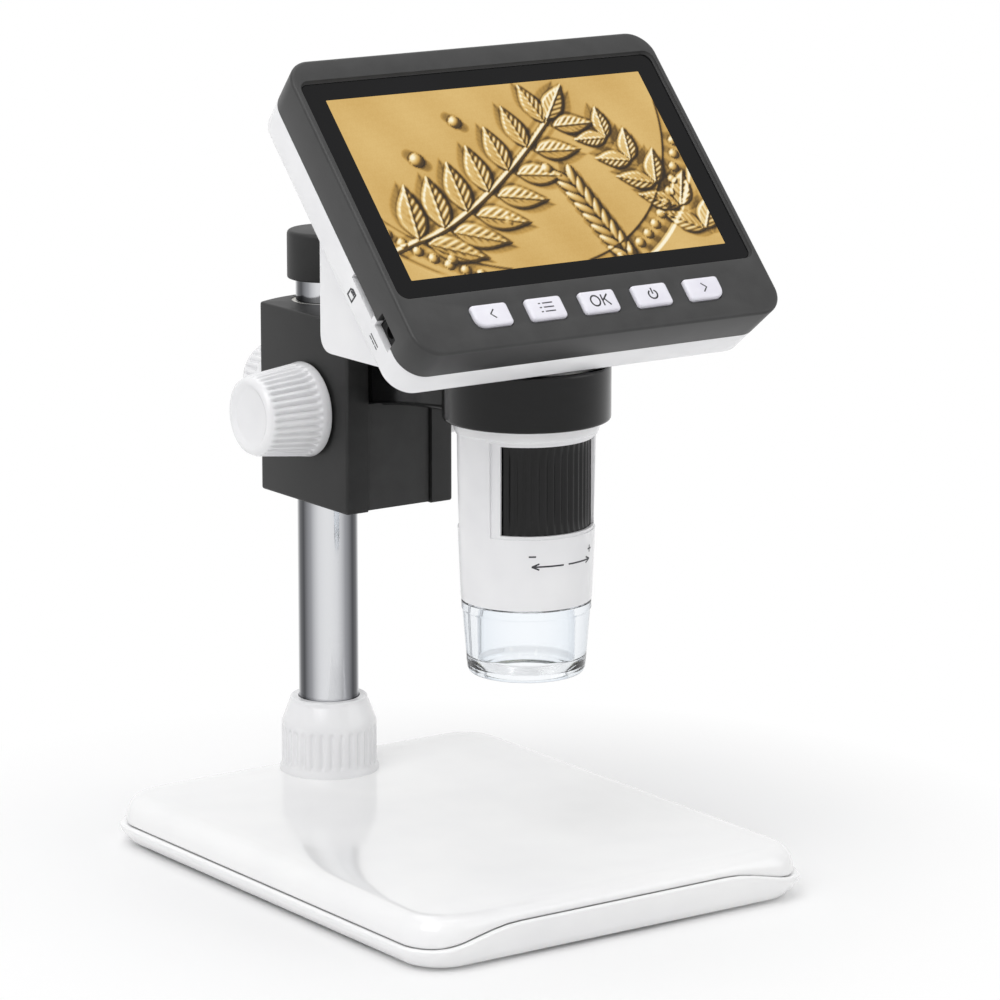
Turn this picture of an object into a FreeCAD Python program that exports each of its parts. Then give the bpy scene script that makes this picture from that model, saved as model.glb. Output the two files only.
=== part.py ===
"""A desk microscope with a slanted screen on a pole stand, in millimetres.

The origin is the middle of the base where it stands, +X is the viewer's right, +Y the back, +Z up.
Every size is one cell of the sheet, and places are worked out from those cells by expressions.
"""
import FreeCAD, Part
import os
import re

import Sketcher

doc = FreeCAD.newDocument("lcd_digital_microscope")
sheet = doc.addObject("Spreadsheet::Sheet", "dims")
Vector = FreeCAD.Vector

SIZES = {
    # base
    "base_wide": 122, "base_long": 152, "base_ahead": 6, "base_top": 14, "base_corner": 12, "base_wall": 2.2,
    "rim_top": 8.3, "rim_draft": 24, "foot_show": 0.8, "shell_inset": 1.8, "roll_radius": 4.4,
    "tray_floor": 2, "ballast_wide": 72, "ballast_long": 88, "ballast_thick": 3, "ballast_ahead": 22,
    "screw_inset": 15, "base_boss_radius": 3.6, "base_screw_radius": 1.4, "base_screw_head": 2.6,
    "foot_radius": 5, "foot_recess": 0.6, "foot_inset": 24, "foot_end_inset": 15, "screw_play": 0.15,
    # pole, its foot, collar and cap
    "pole_back": 52.6, "pole_radius": 8, "pole_wall": 1.2, "pole_foot": 7.5, "pole_top": 158.5,
    "foot_boss_radius": 11, "foot_bolt_radius": 3, "foot_bolt_head": 5, "foot_head_thick": 3.2,
    "washer_thick": 1, "washer_radius": 6.5, "insert_long": 22, "bolt_socket": 2.4,
    "bolt_socket_deep": 1.4, "bolt_hide": 0.6, "bolt_grip": 14,
    "collar_top": 34.2, "collar_lip_radius": 10, "collar_waist_radius": 12.6, "collar_cone": 27,
    "collar_foot_radius": 12.9, "collar_rib": 0.8, "collar_ribs": 30, "collar_rib_low": 16,
    "collar_rib_high": 26, "cap_radius": 10.2, "cap_low": 147.7, "cap_top": 160.5, "cap_round": 1.4,
    # fits
    "run_gap": 0.06, "loose_gap": 0.3,
    # sleeve and block
    "sleeve_wall": 1, "sleeve_flange": 2.2, "flange_thick": 1.2, "block_low": 91.6, "block_high": 141.8,
    "block_half": 16.6, "block_reach": 34.6, "block_side": 6.6, "block_apex": 11,
    "slot_half": 10, "flange_deep": 4, "wing_half": 12.8, "wing_deep": 4.2, "gib_thick": 0.8,
    "panel_recess": 1, "panel_half": 9.6,
    # clamp
    "clamp_z": 117, "clamp_boss_radius": 6.5, "clamp_boss_end": 67.6, "clamp_nut_radius": 4,
    "clamp_nut_long": 3, "clamp_screw_radius": 2.5, "clamp_pad_radius": 3.2, "clamp_pad_thick": 1.4,
    "clamp_knob_end": 79.8, "clamp_knob_big": 11.5, "clamp_knob_small": 9.8,
    # focus drive
    "focus_ahead": 16.8, "focus_z": 117, "shaft_radius": 2.5, "bush_radius": 4, "bush_long": 9.4,
    "gear_module": 0.8, "pinion_teeth": 12, "pinion_wide": 8, "tooth_backlash": 0.22,
    "tooth_addendum": 0.7, "tooth_dedendum": 1, "tooth_lean": 0.36,
    "knob_gap": 0.6, "knob_long": 18, "knob_big": 12.5, "knob_small": 10.4, "knob_rib": 0.7,
    "knob_ribs": 36, "knob_rib_wide": 1.1, "knob_lip": 3.2, "knob_grip_end": 16.2, "knob_dish": 1.2,
    "knob_dish_wall": 1.6, "washer_gap": 0.1, "drag_radius": 7,
    # slider, rack and arm
    "rack_half": 4, "rack_end": 0.8, "rack_teeth": 18, "rack_seat": 1.5, "arm_root": 119.8, "arm_high": 138,
    "arm_mid_z": 122.6, "arm_mid_y": 8, "arm_screw_radius": 1.25, "arm_screw_head": 2.2,
    "arm_screw_out": 6.6, "arm_screw_low": 125, "arm_screw_high": 134, "arm_screw_long": 12,
    "arm_head_sunk": 2, "arm_head_thick": 1.8,
    # holder ring
    "arm_reach": 90.9, "ring_radius": 21.2, "ring_wall": 1.8, "ring_low": 124.8, "ring_high": 139,
    # barrel
    "neck_radius": 18.3, "body_radius": 17.8, "barrel_foot_radius": 16.5, "barrel_low": 78.8,
    "lip_low": 122.4, "wheel_bore": 16.2, "window_low": 98, "window_high": 120.6, "window_half": 58,
    "pad_deep": 0.5, "pad_half": 68, "neck_ring_low": 139.3, "neck_flange": 21.8,
    "neck_flange_thick": 2, "light_bore": 13, "board_bore": 14.6, "board_seat": 89.2,
    "shoulder": 97.3,
    # focus wheel and lens
    "wheel_radius": 15.9, "wheel_low": 97.6, "wheel_high": 121, "wheel_inner": 13, "wheel_ribs": 44,
    "wheel_rib": 0.45, "lens_low": 104, "lens_high": 116, "lens_radius": 7, "pin_radius": 1,
    "pin_circle": 10.3, "pin_low": 101, "glass_thick": 2.6,
    # chassis, sensor and lamps
    "chassis_low": 121.5, "chassis_plate": 3, "chassis_flange": 1.5, "chassis_wall": 2.6,
    "chassis_hole": 8, "sensor_seat": 131, "board_thick": 1.2, "sensor_half": 3.5, "sensor_thick": 1.1,
    "seat_radius": 11, "lamp_circle": 11, "lamp_half": 1.25, "lamp_thick": 1.4, "lamp_count": 8,
    "lamp_hole": 7.5, "barrel_screw_circle": 19.8, "barrel_screw_radius": 0.9,
    "barrel_screw_head": 1.7, "barrel_screw_long": 8,
    # clear tip
    "tip_gap": 0.3, "tip_low": 59.8, "tip_top_radius": 16.4, "tip_foot_radius": 15, "tip_bore": 12.6,
    "tip_mouth": 10.4, "tip_turn": 62.9, "tip_flat": 12.9, "spigot_long": 5.7, "spigot_gap": 0.1,
    # screen housing, in its own slanted frame
    "screen_tilt": 46.9, "screen_z": 186.6, "screen_ahead": 0.6, "face_wide": 110.6, "face_long": 87.6,
    "face_drop": 5.1, "face_proud": 1, "face_corner": 7, "slab_draft": 4, "bezel_deep": 11,
    "slab_deep": 20, "slab_wall": 1.8, "face_thick": 3.7, "screen_wide": 95.04, "screen_long": 53.86,
    "recess_side": 5.7, "recess_end": 5.1, "glass_deep": 1.2, "view_margin": 1, "glass_gap": 0.1,
    "panel_wide": 105.4, "panel_long": 66.8, "panel_thick": 3, "panel_drop": 2, "tray_thick": 0.6,
    "board_wide": 98, "board_long": 66, "board_drop": 4, "main_board": 11.5, "main_board_thick": 1.6,
    "post_radius": 2.6, "post_out": 46, "post_up": 25.5, "cell_wide": 50, "cell_long": 30,
    "cell_thick": 6, "cell_drop": 10.5, "foam_thick": 0.8,
    "wedge_half": 45, "wedge_flare": 7, "flare_deep": 11, "wedge_back": 66, "wedge_low": 142.8,
    "wedge_round": 5, "wedge_wall": 2, "slab_round": 1.6,
    "corner_out": 48, "corner_top": 34.2, "corner_low": 41.8, "corner_boss": 2.2, "corner_post": 2.6,
    "corner_screw": 1, "corner_head": 1.9, "corner_screw_long": 13,
    # buttons
    "button_wide": 10.6, "button_long": 6.3, "button_pitch": 16.03, "button_drop": 40,
    "button_right": 1.05, "button_gap": 0.2, "button_proud": 1, "button_flange": 0.7,
    "button_flange_thick": 1, "key_gap": 0.1, "button_corner": 1, "button_sweep": 4.6, "stem_radius": 1.4,
    "press": 0.8, "plunger_end": 6.9, "switch_half": 2.5, "switch_thick": 0.7, "plunger_radius": 1.2,
    "key_board": 8,
    "key_board_wide": 90, "key_board_long": 9, "key_post": 1.8, "key_post_out": 43,
    # sockets in the left side
    "jack_along": -35, "jack_wide": 7.6, "jack_tall": 4.9, "jack_long": 6.8, "card_along": -23,
    "card_wide": 12, "card_tall": 1.5, "card_long": 14.5, "side_gap": 0.2,
}

# places that follow from the sizes
PLACES = {
    "barrel_y": "pole_back - arm_reach", "block_front": "pole_back - block_reach",
    "focus_y": "pole_back - focus_ahead", "sleeve_outer": "pole_radius + run_gap + sleeve_wall",
    "block_bore": "sleeve_outer + run_gap", "pitch_radius": "gear_module * pinion_teeth / 2",
    "pitch_line": "focus_y - pitch_radius", "tooth_pitch": "gear_module * pi",
    "slider_front": "block_front + panel_recess", "wing_front": "block_front + flange_deep + run_gap",
    "slider_back": "wing_front + wing_deep", "ring_bore": "ring_radius - ring_wall",
    "liner_outer": "ring_bore - run_gap", "liner_inner": "neck_radius + run_gap",
    "neck_hole": "neck_radius + run_gap", "screen_y": "barrel_y - screen_ahead",
    "bezel_back": "face_proud - bezel_deep", "slab_back": "face_proud - slab_deep",
    "face_inner": "face_proud - face_thick", "board_back": "-main_board - main_board_thick",
    "wall_inner": "slab_back + slab_wall", "pinion_hub": "pitch_radius - tooth_dedendum",
    "shell_wide": "base_wide - 2 * shell_inset", "shell_long": "base_long - 2 * shell_inset",
    "shell_corner": "base_corner - shell_inset", "tip_top": "barrel_low - tip_gap",
    "back_narrow": "slab_deep * tan(slab_draft)", "bezel_narrow": "bezel_deep * tan(slab_draft)",
}
WORD = re.compile(r"[a-z_][a-z_0-9]*")
nodes = {}


def full(text):
    """A size expression with each place worked out and each cell named in full."""
    def swap(match):
        word = match.group(0)
        if word in PLACES:
            return "(" + full(PLACES[word]) + ")"
        return "dims." + word if word in SIZES else word
    return WORD.sub(swap, str(text))


def value(text):
    """The number that a size expression gives now."""
    result = sheet.evalExpression(full(text))
    return float(getattr(result, "Value", result))


def bind(item, **rules):
    """Tie properties to the sheet; x, y and z are the item's place."""
    for name, text in rules.items():
        target = "Placement.Base." + name if name in ("x", "y", "z") else name
        item.setExpression(target, full(text))
    return item


def fill_sheet():
    for row, (name, number) in enumerate(SIZES.items(), start=1):
        sheet.set("A%d" % row, name)
        sheet.set("B%d" % row, str(number))
        sheet.setAlias("B%d" % row, name)
    doc.recompute()


# primitives

def box(name, x, y, z, wide, long, high):
    return bind(doc.addObject("Part::Box", name), x=x, y=y, z=z, Length=wide, Width=long, Height=high)


def mid_box(name, x, y, z, wide, long, high):
    """A box centred on x and y that starts at z."""
    return box(name, f"{x} - ({wide}) / 2", f"{y} - ({long}) / 2", z, wide, long, high)


TURNS = {
    "Z": FreeCAD.Rotation(),
    "X": FreeCAD.Rotation(Vector(0, 1, 0), 90),
    "-X": FreeCAD.Rotation(Vector(0, 1, 0), -90),
    "Y": FreeCAD.Rotation(Vector(1, 0, 0), -90),
}


def rod(name, radius, long, x=0, y=0, z=0, axis="Z"):
    item = doc.addObject("Part::Cylinder", name)
    item.Placement.Rotation = TURNS[axis]
    return bind(item, Radius=radius, Height=long, x=x, y=y, z=z)


def joined(kind, name, first, rest):
    item = doc.addObject(kind, name)
    item.Base = first
    item.Tool = rest
    return item


def cut(name, first, *rest):
    tool = rest[0] if len(rest) == 1 else fuse(name + "_tools", *rest)
    return joined("Part::Cut", name, first, tool)


def common(name, first, second):
    return joined("Part::Common", name, first, second)


def fuse(name, *parts):
    item = doc.addObject("Part::MultiFuse", name)
    item.Shapes = list(parts)
    return item


def group(name, *parts):
    item = doc.addObject("Part::Compound", name)
    item.Links = list(parts)
    return item


def tube(name, outer, inner, long, x=0, y=0, z=0, axis="Z"):
    return cut(name, rod(name + "_outer", outer, long, x, y, z, axis),
               rod(name + "_bore", inner, long, x, y, z, axis))


def tilted(item):
    """Give a finished item the slanted place of the screen housing."""
    item.Placement.Rotation = FreeCAD.Rotation(Vector(1, 0, 0), 10)
    item.setExpression("Placement.Rotation.Angle", full("screen_tilt"))
    return bind(item, y="screen_y", z="screen_z")


def node(name, item, slanted=False):
    if slanted:
        tilted(item)
    item.Label = name
    nodes[name] = item
    return item


# sketches and features

def body(name):
    return doc.addObject("PartDesign::Body", name)


def sketch(owner, plane="XY_Plane", lift="0"):
    item = owner.newObject("Sketcher::SketchObject", owner.Name + "_sketch")
    base = next(o for o in owner.Origin.OriginFeatures if o.Role == plane)
    item.AttachmentSupport = [(base, "")]
    item.MapMode = "FlatFace"
    item.setExpression("AttachmentOffset.Base.z", full(lift))
    return item


def rule(item, kind, *where, text):
    index = item.addConstraint(Sketcher.Constraint(kind, *where, value(text)))
    item.setExpression("Constraints[%d]" % index, full(text))


def polygon(item, points):
    """A closed outline with each corner tied to the sheet."""
    places = [Vector(value(x), value(y), 0) for x, y in points]
    count = len(places)
    for index in range(count):
        item.addGeometry(Part.LineSegment(places[index], places[(index + 1) % count]), False)
    for index in range(count):
        item.addConstraint(Sketcher.Constraint("Coincident", index, 2, (index + 1) % count, 1))
    for index, (x, y) in enumerate(points):
        rule(item, "DistanceX", -1, 1, index, 1, text=x)
        rule(item, "DistanceY", -1, 1, index, 1, text=y)
    return item


def pad(owner, item, long, taper=None, back=False, middle=False):
    feature = owner.newObject("PartDesign::Pad", owner.Name + "_pad")
    feature.Profile = item
    feature.Reversed = back
    feature.Midplane = middle
    bind(feature, Length=long)
    if taper:
        bind(feature, TaperAngle=taper)
    doc.recompute()
    return feature


def round_edges(owner, radius, picks, kind="PartDesign::Fillet"):
    """Round the edges of the body's last feature that picks(edge) chooses."""
    last = owner.Tip
    names = ["Edge%d" % (i + 1) for i, edge in enumerate(last.Shape.Edges) if picks(edge)]
    feature = owner.newObject(kind, owner.Name + "_round")
    feature.Base = (last, names)
    bind(feature, **{"Size" if kind.endswith("Chamfer") else "Radius": radius})
    doc.recompute()
    return feature


def upright(edge):
    """An edge that runs up the body, straight or drafted."""
    return edge.BoundBox.ZLength > 0.7 * edge.Length


def flat_at(height):
    def picks(edge):
        box_of = edge.BoundBox
        return abs(box_of.ZMin - height) < 1e-4 and abs(box_of.ZMax - height) < 1e-4
    return picks


def slab(name, wide, long, low, high, corner, x="0", y="0", taper=None):
    """A plate with rounded corners; taper widens it from low to high."""
    owner = body(name)
    west, east = f"{x} - ({wide}) / 2", f"{x} + ({wide}) / 2"
    south, north = f"{y} - ({long}) / 2", f"{y} + ({long}) / 2"
    item = polygon(sketch(owner, lift=low), [(west, south), (east, south), (east, north), (west, north)])
    pad(owner, item, f"({high}) - ({low})", taper)
    round_edges(owner, corner, upright)
    return owner


def lathe(name, profile):
    """A body turned about its own Z from (radius, height) corners."""
    owner = body(name)
    item = polygon(sketch(owner, "XZ_Plane"), profile)
    feature = owner.newObject("PartDesign::Revolution", name + "_turn")
    feature.Profile = item
    feature.ReferenceAxis = (item, ["V_Axis"])
    feature.Angle = 360
    doc.recompute()
    return owner


def ribbed(owner, profile, wide, count):
    """Add ribs with a long (radius, height) profile round the body's Z."""
    item = polygon(sketch(owner, "XZ_Plane"), profile)
    rib = pad(owner, item, wide, middle=True)
    spin = owner.newObject("PartDesign::PolarPattern", owner.Name + "_ribs")
    spin.Originals = [rib]
    spin.Axis = (next(o for o in owner.Origin.OriginFeatures if o.Role == "Z_Axis"), [""])
    spin.Angle = 360
    spin.setExpression("Occurrences", full(count))
    owner.Tip = spin
    doc.recompute()
    return owner


def place(owner, axis="Z", **where):
    owner.Placement.Rotation = TURNS[axis]
    return bind(owner, **where)


def base():
    ahead = "-base_ahead"
    shell = slab("top_skin", "shell_wide", "shell_long", "rim_top", "base_top", "shell_corner", y=ahead)
    round_edges(shell, "roll_radius", flat_at(value("base_top")))
    hollow = slab("top_hollow", "shell_wide - 4 * base_wall", "shell_long - 4 * base_wall", "rim_top - 1",
                  "base_top - base_wall", "shell_corner - 2 * base_wall", y=ahead)
    corners = [(sx, sy) for sx in (-1, 1) for sy in (-1, 1)]
    spots = [(f"{sx} * (base_wide / 2 - screw_inset)", f"{sy} * (base_long / 2 - screw_inset) - base_ahead")
             for sx, sy in corners]
    bosses = [rod("top_boss", "base_boss_radius", "base_top - base_wall - rim_top + 1", x, y, "rim_top - 1")
              for x, y in spots]
    boss_top = rod("pole_boss_top", "foot_boss_radius", "base_top - base_wall - pole_foot", 0, "pole_back",
                   "pole_foot")
    carved = cut("top_carved", shell, hollow)
    filled = fuse("top_filled", carved, *bosses, boss_top)
    holes = [rod("top_pilot", "base_screw_radius", "base_top - rim_top - 1", x, y, "rim_top - 1")
             for x, y in spots]
    pole_hole = rod("top_pole_hole", "pole_radius + run_gap", "base_top", 0, "pole_back", 0)
    node("base_top_shell", cut("base_top_shell", filled, pole_hole, *holes))

    rim = body("rim")
    inset = "(rim_top - foot_show) * tan(rim_draft)"
    west, south = f"-base_wide / 2 + {inset}", f"-base_long / 2 - base_ahead + {inset}"
    east, north = f"base_wide / 2 - {inset}", f"base_long / 2 - base_ahead - {inset}"
    outline = [(west, south), (east, south), (east, north), (west, north)]
    pad(rim, polygon(sketch(rim, lift="foot_show"), outline), "rim_top - foot_show", "rim_draft")
    round_edges(rim, "base_corner - 3", upright)
    inner = slab("tray_hollow", "shell_wide - 4 * base_wall", "shell_long - 4 * base_wall",
                 "foot_show + tray_floor", "rim_top", "shell_corner - 2 * base_wall", y=ahead)
    pillars = [rod("tray_pillar", "base_boss_radius", "rim_top - 1 - foot_show", x, y, "foot_show")
               for x, y in spots]
    pole_boss = rod("tray_pole_boss", "foot_boss_radius", "pole_foot - foot_show", 0, "pole_back",
                    "foot_show")
    tray = fuse("tray_filled", cut("tray_carved", rim, inner), *pillars, pole_boss)
    head_z = "foot_show + foot_head_thick"
    holes = [
        rod("bolt_recess", "washer_radius + loose_gap", "foot_head_thick + washer_thick", 0, "pole_back",
            "foot_show"),
        rod("bolt_hole", "foot_bolt_radius + 0.2", "pole_foot", 0, "pole_back", "foot_show"),
    ]
    feet = []
    screws = []
    for index, (x, y) in enumerate(spots):
        holes.append(rod("tray_hole", "base_screw_radius + screw_play", "rim_top", x, y, "foot_show"))
        holes.append(rod("head_recess", "base_screw_head + screw_play", "2.5", x, y, "foot_show"))
        shank = rod("shank", "base_screw_radius", "base_top - foot_show - 6.5", x, y, "foot_show + 2.5")
        screws.append(fuse("base_screw", shank,
                           rod("head", "base_screw_head", "1.8", x, y, "foot_show + 0.7")))
    for sx, sy in corners:
        x = f"{sx} * (base_wide / 2 - foot_inset)"
        y = f"{sy} * (base_long / 2 - foot_end_inset) - base_ahead"
        holes.append(rod("foot_seat", "foot_radius", "foot_recess", x, y, "foot_show"))
        feet.append(rod("foot", "foot_radius", "foot_show + foot_recess", x, y, "0"))
    node("base_tray", cut("base_tray", tray, *holes))
    node("base_screws", group("base_screws", *screws))
    node("rubber_feet", group("rubber_feet", *feet))
    node("ballast_plate", mid_box("ballast_plate", "0", "-ballast_ahead", "foot_show + tray_floor",
                                  "ballast_wide", "ballast_long", "ballast_thick"))
    washer = tube("bolt_washer", "washer_radius", "foot_bolt_radius + 0.2", "washer_thick", 0,
                  "pole_back", head_z)
    node("bolt_washer", washer)
    head = rod("bolt_head", "foot_bolt_head", "foot_head_thick - bolt_hide", 0, "pole_back",
               "foot_show + bolt_hide")
    socket = rod("bolt_socket", "bolt_socket", "bolt_socket_deep", 0, "pole_back", "foot_show + bolt_hide")
    shank = rod("bolt_shank", "foot_bolt_radius", "pole_foot + bolt_grip - foot_show - foot_head_thick", 0,
                "pole_back", head_z)
    node("pole_bolt", cut("pole_bolt", fuse("bolt_solid", head, shank), socket))


def pole():
    node("pole_tube", tube("pole_tube", "pole_radius", "pole_radius - pole_wall", "pole_top - pole_foot", 0,
                           "pole_back", "pole_foot"))
    node("pole_insert", tube("pole_insert", "pole_radius - pole_wall", "foot_bolt_radius", "insert_long", 0,
                             "pole_back", "pole_foot"))
    bore = "pole_radius + run_gap"
    collar = lathe("pole_collar", [
        (bore, "base_top"), ("collar_foot_radius", "base_top"), ("collar_foot_radius", "collar_rib_low"),
        ("collar_waist_radius - collar_rib", "collar_rib_low"),
        ("collar_waist_radius - collar_rib", "collar_rib_high"), ("collar_waist_radius", "collar_cone"),
        ("collar_lip_radius + 0.5", "collar_top - 1.2"), ("collar_lip_radius", "collar_top"),
        (bore, "collar_top")])
    inner = "collar_waist_radius - 2 * collar_rib"
    ribbed(collar, [(inner, "collar_rib_low - 0.5"), ("collar_waist_radius", "collar_rib_low - 0.5"),
                    ("collar_waist_radius", "collar_rib_high + 0.5"), (inner, "collar_rib_high + 0.5")],
           "collar_waist_radius * pi / collar_ribs", "collar_ribs")
    node("pole_collar", place(collar, y="pole_back"))
    cap = lathe("pole_cap", [
        (bore, "cap_low"), ("cap_radius", "cap_low"), ("cap_radius", "cap_top - cap_round"),
        ("cap_radius - cap_round * 0.3", "cap_top - cap_round * 0.3"), ("cap_radius - cap_round", "cap_top"),
        ("0", "cap_top"), ("0", "pole_top"), (bore, "pole_top")])
    node("pole_cap", place(cap, y="pole_back"))


def sleeve():
    low, high = "block_low + 0.2", "block_high - 0.2"
    node("pole_sleeve", fuse(
        "pole_sleeve",
        tube("sleeve_tube", "sleeve_outer", "pole_radius + run_gap", f"{high} - ({low})", 0, "pole_back",
             low),
        tube("sleeve_flange_ring", "sleeve_outer + sleeve_flange", "pole_radius + run_gap",
             "flange_thick", 0,
             "pole_back", low)))


def focus_block():
    rise = "(block_apex - block_side)"
    curve = f"((block_half ^ 2 + {rise} ^ 2) / (2 * {rise}))"
    deep = "pole_back + block_apex - block_front"
    block = common("block", box("block_brick", "-block_half", "block_front", "block_low",
                                "2 * block_half", deep,
                                "block_high - block_low"),
                   rod("block_curve", curve, "block_high - block_low", 0,
                       f"pole_back + block_apex - {curve}",
                       "block_low"))
    tall, foot = "block_high - block_low", "block_low"
    slot_side = "wing_half + run_gap + gib_thick + run_gap"
    boss = rod("clamp_boss", "clamp_boss_radius", "clamp_boss_end - pole_back - 8", 0, "pole_back + 8",
               "clamp_z", "Y")
    bores = [
        rod("block_bore_cut", "block_bore", tall, 0, "pole_back", foot),
        rod("flange_seat", "sleeve_outer + sleeve_flange + loose_gap", "flange_thick + 0.3", 0,
            "pole_back", foot),
        box("front_slot", "-slot_half", "block_front - 1", foot, "2 * slot_half", "flange_deep + 2", tall),
        box("wing_slot", f"-({slot_side})", "block_front + flange_deep", foot, f"2 * ({slot_side})",
            "wing_deep + 2 * run_gap", tall),
        box("rack_slot", "-rack_half - loose_gap", "slider_back - 1", foot, "2 * (rack_half + loose_gap)",
            "pitch_line + tooth_addendum + loose_gap - slider_back + 1", tall),
        rod("pinion_room", "pitch_radius + tooth_addendum + 0.6", "pinion_wide + 0.6",
            "-pinion_wide / 2 - 0.3",
            "focus_y", "focus_z", "X"),
        rod("shaft_hole", "bush_radius", "2 * block_half", "-block_half", "focus_y", "focus_z", "X"),
        rod("nut_seat", "clamp_nut_radius", "clamp_nut_long", 0, "clamp_boss_end - clamp_nut_long",
            "clamp_z", "Y"),
        rod("pad_hole", "clamp_pad_radius + 0.1", "clamp_boss_end - pole_back", 0, "pole_back",
            "clamp_z", "Y"),
    ]
    node("block_housing", cut("block_housing", fuse("block_solid", block, boss), *bores))
    strips = [box("gib", f"{x}", "wing_front", foot, "gib_thick", "wing_deep", tall)
              for x in (f"wing_half + run_gap", "-wing_half - run_gap - gib_thick")]
    node("slide_gibs", group("slide_gibs", *strips))
    bushes = [tube("bush", "bush_radius", "shaft_radius + run_gap", "bush_long", x, "focus_y", "focus_z",
                   "X")
              for x in ("block_half - bush_long", "-block_half")]
    node("shaft_bushes", group("shaft_bushes", *bushes))
    node("clamp_nut", tube("clamp_nut", "clamp_nut_radius", "clamp_screw_radius + run_gap", "clamp_nut_long",
                           0, "clamp_boss_end - clamp_nut_long", "clamp_z", "Y"))


def knob(name, long, big, small, hub, ribs="knob_ribs"):
    """A tapered knob with a smooth lip at its inner end, ribs, and a dished end."""
    slope = f"(({big}) - ({small})) / ({long})"
    at_lip = f"(({big}) - {slope} * knob_lip)"
    grip_end = f"(({long}) - (knob_long - knob_grip_end))"
    at_end = f"(({big}) - {slope} * {grip_end})"
    owner = lathe(name, [
        ("0", hub), ("shaft_radius", hub), ("shaft_radius", "0"), (f"({big}) - 0.6", "0"), (big, "0.6"),
        (f"{at_lip} + 0.2", "knob_lip"), (f"{at_lip} - knob_rib", "knob_lip"),
        (f"{at_end} - knob_rib", grip_end), (small, grip_end), (small, f"({long}) - 0.8"),
        (f"({small}) - 0.8", long), (f"({small}) - knob_dish_wall", long),
        (f"({small}) - knob_dish_wall - 1", f"({long}) - knob_dish"), ("0", f"({long}) - knob_dish")])
    ribbed(owner, [(f"{at_lip} - 2 * knob_rib", "knob_lip - 0.3"), (at_lip, "knob_lip - 0.3"),
                   (at_end, f"{grip_end} + 0.3"), (f"{at_end} - 2 * knob_rib", f"{grip_end} + 0.3")],
           "knob_rib_wide", ribs)
    return owner


def clamp():
    pad_y = "pole_back + sleeve_outer + 0.05"
    node("clamp_pad", rod("clamp_pad", "clamp_pad_radius", "clamp_pad_thick", 0, pad_y, "clamp_z", "Y"))
    screw_y = f"{pad_y} + clamp_pad_thick"
    node("clamp_screw", rod("clamp_screw", "clamp_screw_radius", f"clamp_boss_end + 7 - ({screw_y})", 0,
                            screw_y, "clamp_z", "Y"))
    long = "(clamp_knob_end - clamp_boss_end - 0.4)"
    item = knob("clamp_knob", long, "clamp_knob_big", "clamp_knob_small", "6.6")
    node("clamp_knob", place(item, "Y", y="clamp_boss_end + 0.4", z="clamp_z"))


def tooth_outline(thick, root, tip):
    """Half-widths of a straight-sided tooth at its root and tip."""
    wide_root = f"({thick}) / 2 + ({root}) * tooth_lean"
    wide_tip = f"({thick}) / 2 - ({tip}) * tooth_lean"
    return wide_root, wide_tip


def focus_drive():
    reach = "block_half + knob_gap + 8"
    node("focus_shaft", rod("focus_shaft", "shaft_radius", f"2 * ({reach})", f"-({reach})", "focus_y",
                            "focus_z", "X"))
    pinion = lathe("focus_pinion",
                   [("shaft_radius", "0"), ("pinion_hub", "0"), ("pinion_hub", "pinion_wide"),
                                    ("shaft_radius", "pinion_wide")])
    thick = "(tooth_pitch / 2 - tooth_backlash)"
    root, tip = tooth_outline(thick, "tooth_dedendum", "tooth_addendum * 1.15")
    low, high = "pinion_hub - 0.3", "pitch_radius + tooth_addendum"
    item = polygon(sketch(pinion), [(low, f"-({root}) * 0.86"), (high, f"-({tip})"), (high, tip),
                                    (low, f"({root}) * 0.86")])
    rib = pad(pinion, item, "pinion_wide")
    spin = pinion.newObject("PartDesign::PolarPattern", "pinion_teeth_ring")
    spin.Originals = [rib]
    spin.Axis = (next(o for o in pinion.Origin.OriginFeatures if o.Role == "Z_Axis"), [""])
    spin.Angle = 360
    spin.setExpression("Occurrences", full("pinion_teeth"))
    pinion.Tip = spin
    doc.recompute()
    node("focus_pinion", place(pinion, "X", x="-pinion_wide / 2", y="focus_y", z="focus_z"))
    for name, axis, sign in (("focus_knob_left", "-X", "-"), ("focus_knob_right", "X", "")):
        item = knob(name, "knob_long", "knob_big", "knob_small", "8")
        node(name, place(item, axis, x=f"{sign}(block_half + knob_gap)", y="focus_y", z="focus_z"))
    washers = [tube("drag_washer", "drag_radius", "shaft_radius + run_gap", "knob_gap - 2 * washer_gap",
                    x, "focus_y", "focus_z", "X")
               for x in ("block_half + washer_gap", "-block_half - knob_gap + washer_gap")]
    node("drag_washers", group("drag_washers", *washers))


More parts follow.
